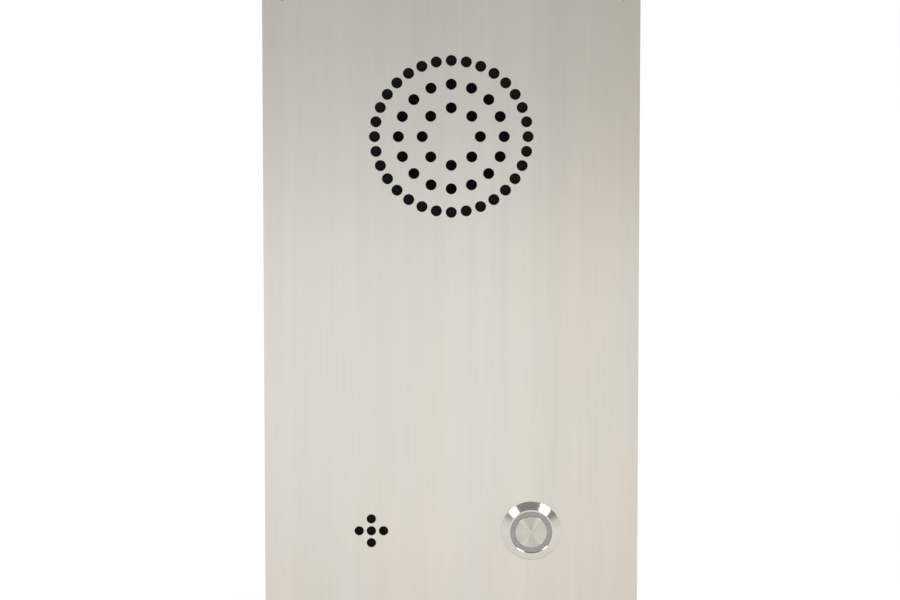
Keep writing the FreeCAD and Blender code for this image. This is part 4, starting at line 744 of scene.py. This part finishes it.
GRILLE_HOLE, GRILLE_RINGS = 2.0, ((10.6, 8), (19.3, 16), (28.0, 32))
MICROPHONE_HOLE, MICROPHONE_PITCH = 1.7, 4.5
MOUNTING_HOLE, MOUNTING_INSET = 2.25, 7.0
PANEL_HOLE = 9.6
PLATE_EDGE, PLATE_CORNER = 0.05, 2.0


def cut_sheet(name, outlines, front, rear, edge):
    """A sheet between two depths with softened edges: the first outline less the others."""
    curve = bpy.data.curves.new(name, "CURVE")
    curve.dimensions, curve.fill_mode = "2D", "BOTH"
    curve.extrude = ((rear - front) / 2 - edge) * MM
    curve.bevel_depth, curve.bevel_resolution, curve.offset = edge * MM, 0, -edge * MM
    for outline in outlines:
        spline = curve.splines.new("POLY")
        spline.points.add(len(outline) - 1)
        for point, (x, z) in zip(spline.points, outline):
            point.co = (x * MM, z * MM, 0, 1)
        spline.use_cyclic_u = True
    flat = bpy.data.objects.new(name, curve)
    mesh = bpy.data.meshes.new_from_object(flat)
    upright = Matrix(((1, 0, 0), (0, 0, -1), (0, 1, 0))).to_4x4()
    mesh.transform(Matrix.Translation((0, (front + rear) / 2 * MM, 0)) @ upright)
    bpy.data.objects.remove(flat)
    bpy.data.curves.remove(curve)
    return mesh


def rounded_rectangle(half, radius, steps=6):
    """An outline about the origin in the panel's plane with round corners, as (x, z)."""
    points = []
    for quarter, (right, up) in enumerate(((1, 1), (-1, 1), (-1, -1), (1, -1))):
        x, z = right * (half.x - radius), up * (half.z - radius)
        for step in range(steps + 1):
            points.append(around(x, z, radius, pi / 2 * (quarter + step / steps), 0)[::2])
    return points


def make_steel_plate():
    """The panel: truly round holes with dull cut walls, darkened as painted shade, and every edge just
    broken.
    """
    low, high, *_ = limits("face_plate")
    holes = []
    for radius, count in GRILLE_RINGS:
        holes += [(x, z, GRILLE_HOLE, 40) for x, z in circle(0, SPEAKER_Z, radius, count)]
    cross = [(-BUTTON_X, CONTROLS_Z), *circle(-BUTTON_X, CONTROLS_Z, MICROPHONE_PITCH, 4)]
    holes += [(x, z, MICROPHONE_HOLE, 40) for x, z in cross]
    holes.append((BUTTON_X, CONTROLS_Z, PANEL_HOLE, 72))
    across, up = high.x - MOUNTING_INSET, high.z - MOUNTING_INSET
    holes += [(side * across, end * up, MOUNTING_HOLE, 40) for side in (-1, 1) for end in (-1, 1)]
    outlines = [rounded_rectangle(high, PLATE_CORNER)] + [circle(*hole) for hole in holes]
    mesh = cut_sheet("steel_plate", outlines, low.y, high.y, PLATE_EDGE)
    plate = show("steel_plate", mesh, PANEL, "face_plate", sharp=20)
    # The hole walls take the dark cut steel: painted shade inside the holes
    plate.data.materials.append(CUT_STEEL_PAINTED_SHADE.material)
    inner_x, inner_z = (high.x - 1) * MM, (high.z - 1) * MM
    for face in plate.data.polygons:
        in_hole = abs(face.center.x) < inner_x and abs(face.center.z) < inner_z
        face.material_index = int(in_hole and abs(face.normal.y) < 0.9)


# Call button

BARREL, THREAD_PITCH, THREAD_DEPTH = 9.45, 1.0, 0.55
BARREL_ROOT = BARREL - THREAD_DEPTH
HEAD_RADIUS, LIP_CREST, HEAD_BORE, BARREL_BORE = 11.0, 8.42, 7.7, 8.4
BARREL_NUT_FLATS = 22
SPRING_WIRE, SPRING_RADIUS, SPRING_TURNS, SPRING_KEEP = 0.25, 4.2, 5, 0.52


def make_button_head():
    """The head with its chamfered lip, the threaded barrel behind it, and the nut."""
    low, high, *_ = limits("button_housing")
    front, rear = low.y, high.y
    panel = limits("face_plate")[0].y
    profile = [(HEAD_BORE, panel + 1.5), *offset(HEAD_BORE, front, (0, 0.17), (0.26, 0.01), (0.32, 0))]
    profile += offset(LIP_CREST, front, (-0.04, 0), (0.04, 0.04))
    profile += offset(HEAD_RADIUS, panel, (-0.07, -0.42), (0, -0.36), (0, -0.02), (-0.7, 0), (-0.7, 0.5))
    profile += [(BARREL, panel + 0.5), (BARREL, 0.9), (BARREL_ROOT, 1.3), (BARREL_ROOT, rear - 0.5)]
    profile += [(BARREL - 0.3, rear), (BARREL_BORE, rear), (BARREL_BORE, panel + 1.5)]
    form = Form()
    form.turn(profile, BUTTON_X, CONTROLS_Z, steps=96, closed=True)
    form.thread(BUTTON_X, CONTROLS_Z, 1.1, rear - 0.4, BARREL_ROOT, BARREL, THREAD_PITCH, steps=72)
    form.piece("button_head", HEAD, "button_housing", sharp=18)
    form = Form()
    form.nut(limits("button_nut"), BARREL_NUT_FLATS, BARREL - 0.1, first=pi / 6, steps=120)
    form.piece("barrel_nut", NICKEL, "button_nut")


def make_return_spring():
    """Cold-wound wire with its end turns closed."""
    low, high, *_ = limits("button_spring")
    steps = 32
    form = Form()
    rows = []
    for step in range(SPRING_TURNS * steps + 1):
        share = step / (SPRING_TURNS * steps)
        closed_ends = share - 0.42 * sin(TURN * share) / TURN
        y = low.y + SPRING_WIRE + (high.y - low.y - 2 * SPRING_WIRE) * closed_ends
        wire = circle(SPRING_RADIUS, y, SPRING_WIRE, 8)
        turn = TURN * step / steps
        rows.append([around(BUTTON_X, CONTROLS_Z, radius, turn, y) for radius, y in wire])
    form.tube(rows)
    spring = form.piece("return_spring", SPRING_STEEL, "button_spring")
    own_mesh(spring)


def make_pin_sleeves():
    """Shrunk sleeves over the joints of the button's leads and its flat pins."""
    form = Form()
    for low, high, x, z in solids("button_pins"):
        outside = ((0.7, 3.2), (0.95, 3.0), (0.98, 1.2), (1.3, 0.2), (1.34, -3.2), (1.22, -3.35))
        inside = ((1.1, -3.2), (0.6, 1.0), (0.6, 3.1))
        form.turn(offset(0, high.y, *outside, *inside), x, z, steps=24, closed=True)
    form.piece("pin_sleeves", SHRINK_SLEEVE, sharp=50)


# Studs, nuts and screws

STUD, STUD_ROOT, STUD_PITCH = 1.5, 1.22, 0.5
EARTH_STUD, EARTH_ROOT, EARTH_PITCH = 2.0, 1.65, 0.7
STUD_NUT_FLATS, EARTH_NUT_FLATS = 5.5, 7
SCREW_HEAD = 1.9


def make_studs(name, node, look, radius, root, pitch):
    """Welded studs: each with its foot, its thread and a chamfered tip."""
    form = Form()
    for low, high, x, z in solids(node):
        end = high.y
        profile = [(0, 0.0), (radius + 0.25, 0.0), (radius, 0.3), (root, 0.6), (root, end - 0.3), (0, end)]
        form.turn(profile, x, z, 32)
        form.thread(x, z, 0.6, end - 0.3, root, radius, pitch, steps=32)
    form.piece(name, look, node, sharp=25)


def make_nuts(name, node, look, flats, bore):
    """Hexagonal nuts, turned as the solids that they stand for."""
    form = Form()
    for box in solids(node):
        size = box[1] - box[0]
        form.nut(box, flats, bore, pi / 6 if size.x > size.z else 0)
    form.piece(name, look, node)


def make_screws(node, slot, shank):
    """Screws with cheese heads slotted to half their height, on a threaded shank or none."""
    form = Form()
    for low, high, x, z in solids(node):
        start, end, radius = low.y, high.y, high.x - x
        if shank:
            head = end - SCREW_HEAD
            form.turn([(0, start), (STUD_ROOT, start), (STUD_ROOT, head), (0, head)], x, z, 32)
            form.thread(x, z, start, head, STUD_ROOT, STUD, STUD_PITCH, 32)
            start = head
        base = (start + end) / 2
        profile = [(0, start), (radius - 0.1, start), (radius, start + 0.1), (radius, base), (0, base)]
        form.turn(profile, x, z, 48)
        pie(form, x, z, radius, 2, slot, base, end)
    form.piece(f"slotted_{node}", ZINC_PLATE, node, sharp=25)


# Speaker

SECTORS = 12


def make_soft_ring(name, look, node, waves, power, radii, bends, thick, steps, thinning):
    """A ring with a waved band, in equal sectors between the basket and the cone."""
    outer, start, end, inner = radii
    low, high, *_ = limits(node)
    face = high.y - thick
    front, rear = [(outer, face)], [(outer, high.y)]
    for step in range(steps + 1):
        share = step / steps
        radius = start + (end - start) * share
        lift = (face - low.y) * sin(waves * pi * share) ** power
        front.append((radius, face - lift))
        rear.append((radius, high.y - lift * thinning))
    profile = front + [(inner, face), (inner, high.y)] + rear[::-1] + front[:1]
    for part in range(SECTORS):
        first, last = TURN * part / SECTORS, TURN * (part + 1) / SECTORS
        form = Form()
        form.sector(profile, 0, SPEAKER_Z, first, last, 6)
        piece = form.piece(f"{name}_{part + 1}", look, node, body=None, sharp=60)
        places = [Vector(around(0, SPEAKER_Z, radius, (first + last) / 2, 0)) * MM for radius in bends]
        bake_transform(piece)


def make_soft_rings():
    """The surround's half roll of rubber, and the spider's waves of stiffened cloth."""
    radii, bends = (31.0, 29.0, 25.0, 23.4), (28.6, 25.2)
    make_soft_ring("surround_roll", BOOT, "speaker_surround", 1, 1, radii, bends, 0.5, 12, 0.92)
    radii, bends = (17.3, 15.0, 7.2, 7.0), (14.6, 7.4)
    make_soft_ring("spider_waves", SPIDER_CLOTH, "speaker_spider", 3, 2, radii, bends, 0.4, 36, 1)


def make_lead_solder():
    """Drops of solder on the speaker's tags, the microphone's pads and the board."""
    form = Form()
    for side in (-1, 1):
        drop = [(0, 8.3), (0.5, 8.1), (0.75, 7.2), (1.1, 6.3), (1.35, 5.9), (1.4, 5.78), (0, 5.78)]
        form.turn(drop, side * TAG_X, TAG_Z, 32)
        pad = [(0, 9.9), (0.5, 9.8), (0.8, 9.2), (1.15, 8.75), (1.2, 8.68), (0, 8.68)]
        form.turn(pad, side * PAD_X - BUTTON_X, CONTROLS_Z, 32)
    end_x, _, end_z = EARTH_ROUTE[-1]
    form.turn([(0, 13.4), (0.5, 13.2), (0.8, 12.4), (1.3, 11.8), (1.35, 11.6), (0, 11.6)], end_x, end_z, 32)
    form.piece("lead_solder", SOLDER, sharp=60)


# Board parts

BOARD_FRONT, BOARD_FACE = (corner.y for corner in limits("main_board")[:2])
CAPACITORS = ("large_capacitors", "small_capacitors")
PIE_BEVEL = 0.12
CAN_BEAD = ((-0.5, 0), (-0.05, 0.4), (-0.05, 1.5), (-0.45, 2.0), (-0.45, 2.4), (0, 2.9))
CAN_RIM = ((0, -0.6), (-0.15, -0.2), (-0.5, 0), (-0.9, -0.05), (-0.95, -0.35))


def pie(form, x, z, radius, count, gap, low, high):
    """A disc cut into equal raised sectors by grooves, as a screw slot or a vent cross."""
    reach = asin(gap / 2 / radius)
    wedge = TURN / count
    inner = gap / 2 / sin(wedge / 2)
    for part in range(count):
        first = wedge * part
        turns = [first + reach + (wedge - 2 * reach) * step / 18 for step in range(19)]
        rows = []
        for inset, y in ((0, low), (0, high - PIE_BEVEL), (PIE_BEVEL, high)):
            tip = around(x, z, inner, first + wedge / 2, y)
            rows.append([tip, *(around(x, z, radius - inset, turn, y) for turn in turns)])
        form.skin(rows)
        form.face(form.row(rows[-1]))


def make_capacitors():
    """Electrolytic cans, each with a beaded sleeve, a scored top and a polarity stripe."""
    for node in CAPACITORS:
        sleeves, tops, stripes = Form(), Form(), Form()
        for low, high, x, z in solids(node):
            radius, foot, top = (high.x - low.x) / 2, low.y, high.y
            side = offset(radius, foot, *CAN_BEAD) + offset(radius, top, *CAN_RIM)
            sleeves.turn([(0, foot), *side, (0, top - 0.35)], x, z, 48)
            pie(tops, x, z, radius - 1.0, 4, 0.3, top - 0.5, top - 0.15)
            under, over, start, end = radius - 0.1, radius + 0.03, foot + 3.2, top - 0.7
            band = [(under, start), (over, start), (over, end), (under, end), (under, start)]
            stripes.sector(band, x, z, radians(200), radians(250), 10)
        name = node[:-1]
        sleeves.piece(f"{name}_sleeves", SLEEVE, node)
        tops.piece(f"{name}_tops", ALUMINIUM)
        stripes.piece(f"{name}_stripes", STRIPE_INK, sharp=40)


def legs(form, box, count, pitch, width, reach, across):
    """Two rows of bent legs on opposite sides of a package, along X or, where across is 1, Z."""
    low, high, x, z = box
    shoulder = (low.y + high.y) / 2 + 0.1
    foot = BOARD_FACE + 0.03
    gauge = 0.16
    outline = [(-0.1, shoulder), (0.25, shoulder), (0.25 + gauge, foot + gauge), (reach, foot + gauge)]
    outline += [(reach, foot), (0.25, foot), (0.25 - gauge, shoulder - gauge), (-0.1, shoulder - gauge)]
    half = (high.z - low.z, high.x - low.x)[across] / 2
    for side in (-1, 1):
        for place in spaced(count, pitch):
            rows = []
            for along in (place - width / 2, place + width / 2):
                points = [(along, side * (half + out), y) for out, y in outline]
                rows.append([(x + v, y, z + u) if across else (x + u, y, z + v) for u, v, y in points])
            form.tube(rows)


def make_chips():
    """Moulded packages standing just off the board on bent tinned legs."""
    bodies, feet, dots = Form(), Form(), Form()
    for box in solids("circuit_chips"):
        low, high, *_ = box
        size = high - low
        bodies.block((low.x, low.y + 0.12, low.z), high, 0.22, 1)
        if abs(size.x - size.z) < 1:
            legs(feet, box, 12, 0.8, 0.34, 1.2, 0)
            legs(feet, box, 12, 0.8, 0.34, 1.2, 1)
        elif size.x > 12:
            legs(feet, box, 14, 1.27, 0.42, 1.3, 0)
        else:
            legs(feet, box, 2, 5.1, 1.1, 1.5, 0)
        dot = offset(0, high.y, (0, 0.012), (0.42, 0.012), (0.42, -0.1))
        dots.turn(dot, low.x + 1.2, high.z - 1.2, 20)
    bodies.piece("chip_packages", BLACK, "circuit_chips")
    feet.piece("chip_legs", TINNED, sharp=20)
    dots.piece("first_leg_dots", STRIPE_INK)


# Rows of small parts: the first one's x and z, the step, how many, if across, and if resistors
SMALL_PARTS = (
    (-5, -39.6, 2.5, 0, 5, False, False),
    (10.6, -33, 0, 2, 5, True, True),
    (-29, -24, 2.8, 0, 6, True, False),
    (-36.2, -32, 0, 2.6, 7, True, True),
    (-29, -44.6, 2.6, 0, 5, False, True),
    (24.8, -46.4, 0, 2.6, 3, True, False),
    (17.8, -18.4, 0, 2.4, 4, True, True),
    (-21.5, -58.6, 2.2, 0, 3, False, False),
    (18.5, -58.6, 2.2, 0, 3, False, True),
    (-8, -9.4, 2.6, 0, 5, False, False),
    (10.8, 15.4, 2.4, 0, 3, False, True),
    (-16.8, 15.4, 2.4, 0, 3, False, False),
)


def make_small_parts():
    """Chip resistors and capacitors, soldered round their ends and to their pads."""
    resistors, capacitors, ends = Form(), Form(), Form()
    for first_x, first_z, step_x, step_z, count, across, resistor in SMALL_PARTS:
        body, height = (resistors, 0.5) if resistor else (capacitors, 0.85)
        blocks = (
            (body, -0.55, 0.55, 0.4, height, 0.04),
            (ends, -0.8, -0.55, 0.42, height + 0.02, 0.06),
            (ends, 0.55, 0.8, 0.42, height + 0.02, 0.06),
            (ends, -1.15, -0.6, 0.52, 0.07, 0.02),
            (ends, 0.6, 1.15, 0.52, 0.07, 0.02),
        )
        for step in range(count):
            x, z = first_x + step * step_x, first_z + step * step_z
            for form, near, far, side, top, bevel in blocks:
                left, foot, right, head = (near, -side, far, side) if across else (-side, near, side, far)
                low, high = (x + left, BOARD_FACE, z + foot), (x + right, BOARD_FACE + top, z + head)
                form.block(low, high, bevel, 1)
    resistors.piece("chip_resistors", BLACK)
    capacitors.piece("chip_capacitors", CERAMIC)
    ends.piece("soldered_ends", SOLDER)


def mitres(points, closed=False):
    """Each point of a path on the board, and the way across that keeps a strip's width there."""
    path = [Vector(point) for point in points]
    last = len(path) - 1
    for step, here in enumerate(path):
        before = (here - path[step - 1]).normalized() if closed or step else None
        after = (path[(step + 1) % len(path)] - here).normalized() if closed or step < last else before
        before = before or after
        along = (before + after).normalized()
        normal = Vector((-along.y, along.x))
        yield here, normal / max(0.4, normal.dot(Vector((-before.y, before.x))))


def strip(form, points, width, height, closed=False):
    """A flat strip on the board's rear face along points in its plane."""
    rows = []
    top, low = BOARD_FACE + height, BOARD_FACE - 0.1
    for here, across in mitres(points, closed):
        left, right = here + across * width / 2, here - across * width / 2
        corners = ((left, low), (left, top), (right, top), (right, low))
        rows.append([(side.x, y, side.y) for side, y in corners])
    form.skin(rows, closed)


TRACK_WIDTH, TRACK_HEIGHT = 0.34, 0.035
INK_WIDTH, INK_HEIGHT = 0.18, 0.02
TRACKS = (
    ([(-2, 11), (-2, 7.5), (-10, -0.5), (-10, -12), (-12.5, -14.5)], 2, 0.9),
    ([(2, 11), (2, 8), (8, 2), (8, -16), (5, -19), (5, -21.4)], 2, 0.9),
    ([(-7.6, -29), (-10.5, -29), (-11.5, -30)], 5, 0.8),
    ([(-32.5, -12), (-34.5, -10), (-34.5, -6), (-38, -2.6)], 3, 0.9),
    ([(-22, -36.6), (-22, -39), (-32, -49), (-32, -57)], 3, 0.9),
    ([(3.2, -36.6), (3.2, -44), (14, -54.8), (26, -54.8), (30, -57.4)], 4, 0.8),
    ([(7.6, -27), (14, -27), (19.5, -21.5), (19.5, -12)], 3, 0.8),
    ([(12.7, -58), (16, -54.7), (16, -47), (23, -40), (30, -40)], 2, 1.3),
    ([(30, -36), (46, -36), (46, -6), (43.5, -3.5)], 2, 1.5),
    ([(-46, -40), (-46, -10), (-43, -7), (-43, -4)], 2, 1.2),
    ([(-3, -36.6), (-3, -42.5), (-7, -46.5), (-7, -54.6)], 3, 0.8),
    ([(-12, -47.5), (-22, -47.5), (-26.5, -52), (-26.5, -56)], 3, 0.8),
)
FRAMED = ("circuit_chips", "trimmer_bases", "hook_relay", "film_capacitor", "lead_headers", "terminal_block")


def make_tracks():
    """Parallel copper tracks under the mask, each with a plated hole at both ends."""
    tracks, holes = Form(), Form()
    hole, radius = 0.2, 0.42
    top = BOARD_FACE + 0.05
    profile = [(hole, BOARD_FACE - 0.2), (hole, top), (radius, top), (radius, BOARD_FACE - 0.1)]
    for points, count, pitch in TRACKS:
        for place in spaced(count, pitch):
            path = [here + across * place for here, across in mitres(points)]
            strip(tracks, path, TRACK_WIDTH, TRACK_HEIGHT)
            for end in (path[0], path[-1]):
                holes.turn(profile, end.x, end.y, 20)
    tracks.piece("board_tracks", TRACK_MASK, sharp=20)
    holes.piece("plated_holes", SOLDER)


def make_outlines():
    """White outlines printed round the board's parts."""
    outlines = []
    for node in FRAMED:
        edge = 1.6 if node == "circuit_chips" else 0.55
        for low, high, *_ in solids(node):
            left, right, foot, top = low.x - edge, high.x + edge, low.z - edge, high.z + edge
            outlines.append([(left, foot), (right, foot), (right, top), (left, top)])
    for node in CAPACITORS:
        outlines += [circle(x, z, (high.x - low.x) / 2 + 0.5, 40) for low, high, x, z in solids(node)]
    ink = Form()
    for outline in outlines:
        strip(ink, outline, INK_WIDTH, INK_HEIGHT, closed=True)
    ink.piece("white_outlines", WHITE_INK, sharp=20)


def joint_places():
    """Where legs of the wired parts come through to the board's front face."""
    for node in CAPACITORS:
        for low, high, x, z in solids(node):
            yield from ((x + place, z) for place in spaced(2, (high.x - low.x) / 2))
    for low, high, x, z in solids("lead_headers"):
        count = 4 if high.x - low.x > 10.1 and low.x > 0 else 2
        for place in spaced(count, BUTTON_PLUG_PITCH):
            yield x + place, z
    for node, columns, rows in (("transformer_bobbin", 4, 2), ("hook_relay", 4, 2), ("film_capacitor", 2, 1)):
        low, high, x, z = limits(node)
        for up in spaced(rows, high.z - low.z - 3):
            pitch = (high.x - low.x - 4) / (columns - 1)
            yield from ((x + along, z + up) for along in spaced(columns, pitch))
    yield from (box[2:] for box in solids("terminal_screws"))
    for low, high, x, z in solids("trimmer_bases"):
        yield from ((low.x + 1, low.z + 1), (high.x - 1, low.z + 1), (x, high.z - 1))


def make_solder_joints():
    """Cones of solder on the board's front face, each round the end of a leg."""
    form = Form()
    cone = [(0, -1.5), (0.32, -1.45), (0.4, -0.9), (0.6, -0.4), (0.95, -0.08), (1.0, 0)]
    for x, z in joint_places():
        form.turn(offset(0, BOARD_FRONT, *cone), x, z, 20)
    form.piece("solder_joints", SOLDER, sharp=60)


def make_winding():
    """The bobbin's two flanges and feet, and the taped winding between them."""
    core_low, core_high, *_ = limits("transformer_core")
    low, high, middle_x, middle_z = limits("transformer_bobbin")
    flange, foot, inset = 0.9, 3.4, 0.7
    left, right = low.x + 0.05, high.x - 0.05
    bottom = core_low.y + (core_high.y - high.y)
    bobbin = Form()
    for start in (bottom, high.y - flange):
        bobbin.block((left, start, low.z), (right, start + flange, high.z), 0.2)
    for near, far, pin in ((low.z, low.z + foot, low.z - 0.25), (high.z - foot, high.z, high.z - 0.3)):
        bobbin.block((left, low.y, near), (right, bottom + 0.2, far), 0.3)
        for place in spaced(4, (high.x - low.x - 4) / 3):
            x = middle_x + place
            bobbin.block((x - 0.5, low.y + 0.3, pin), (x + 0.5, bottom - 0.3, pin + 0.55), 0.1)
    bobbin.piece("bobbin_flanges", BOBBIN_NYLON, "transformer_bobbin")

    tape = Form()
    half = Vector((high.x - middle_x - inset, 0, high.z - middle_z - inset))
    outline = rounded_rectangle(half, 3.2, 8)
    depths = (bottom + flange - 0.05, high.y - flange + 0.05)
    tape.tube([[(middle_x + x, y, middle_z + z) for x, z in outline] for y in depths])
    lap = high.z - inset + 0.06
    tape.block((middle_x - 3.5, bottom + flange, lap), (middle_x + 1.2, high.y - flange, lap + 0.05), 0.02, 1)
    tape.piece("winding_tape", TAPE, sharp=25)


make_camera()
make_floor()
make_lamp("right_softbox", (0.433, -0.436, 0.789), (0.736, -0.397, 0.549), 1.6, 0.9, 10)
make_lamp("left_softbox", (-0.590, -0.420, 0.689), (-0.797, -0.385, 0.463), 1.6, 0.9, 8)
make_lamp("rear_softbox", (0.0, 0.8, 0.7), (0.7, 0.7, 0.5), 1.8, 0.8, 14)
make_world()
bpy.context.scene.view_settings.view_transform = "Standard"

make_leads()
make_steel_plate()
make_button_head()
make_return_spring()
make_pin_sleeves()
make_studs("threaded_studs", "weld_studs", ZINC_PLATE, STUD, STUD_ROOT, STUD_PITCH)
make_studs("earth_terminal_stud", "earth_stud", BRASS, EARTH_STUD, EARTH_ROOT, EARTH_PITCH)
make_nuts("stud_hex_nuts", "stud_nuts", ZINC_PLATE, STUD_NUT_FLATS, STUD)
make_nuts("earth_hex_nut", "earth_nut", BRASS, EARTH_NUT_FLATS, EARTH_STUD)
make_screws("board_screws", 0.7, True)
make_screws("terminal_screws", 0.6, False)
make_soft_rings()
make_lead_solder()
make_capacitors()
make_chips()
make_small_parts()
make_tracks()
make_outlines()
make_solder_joints()
make_winding()
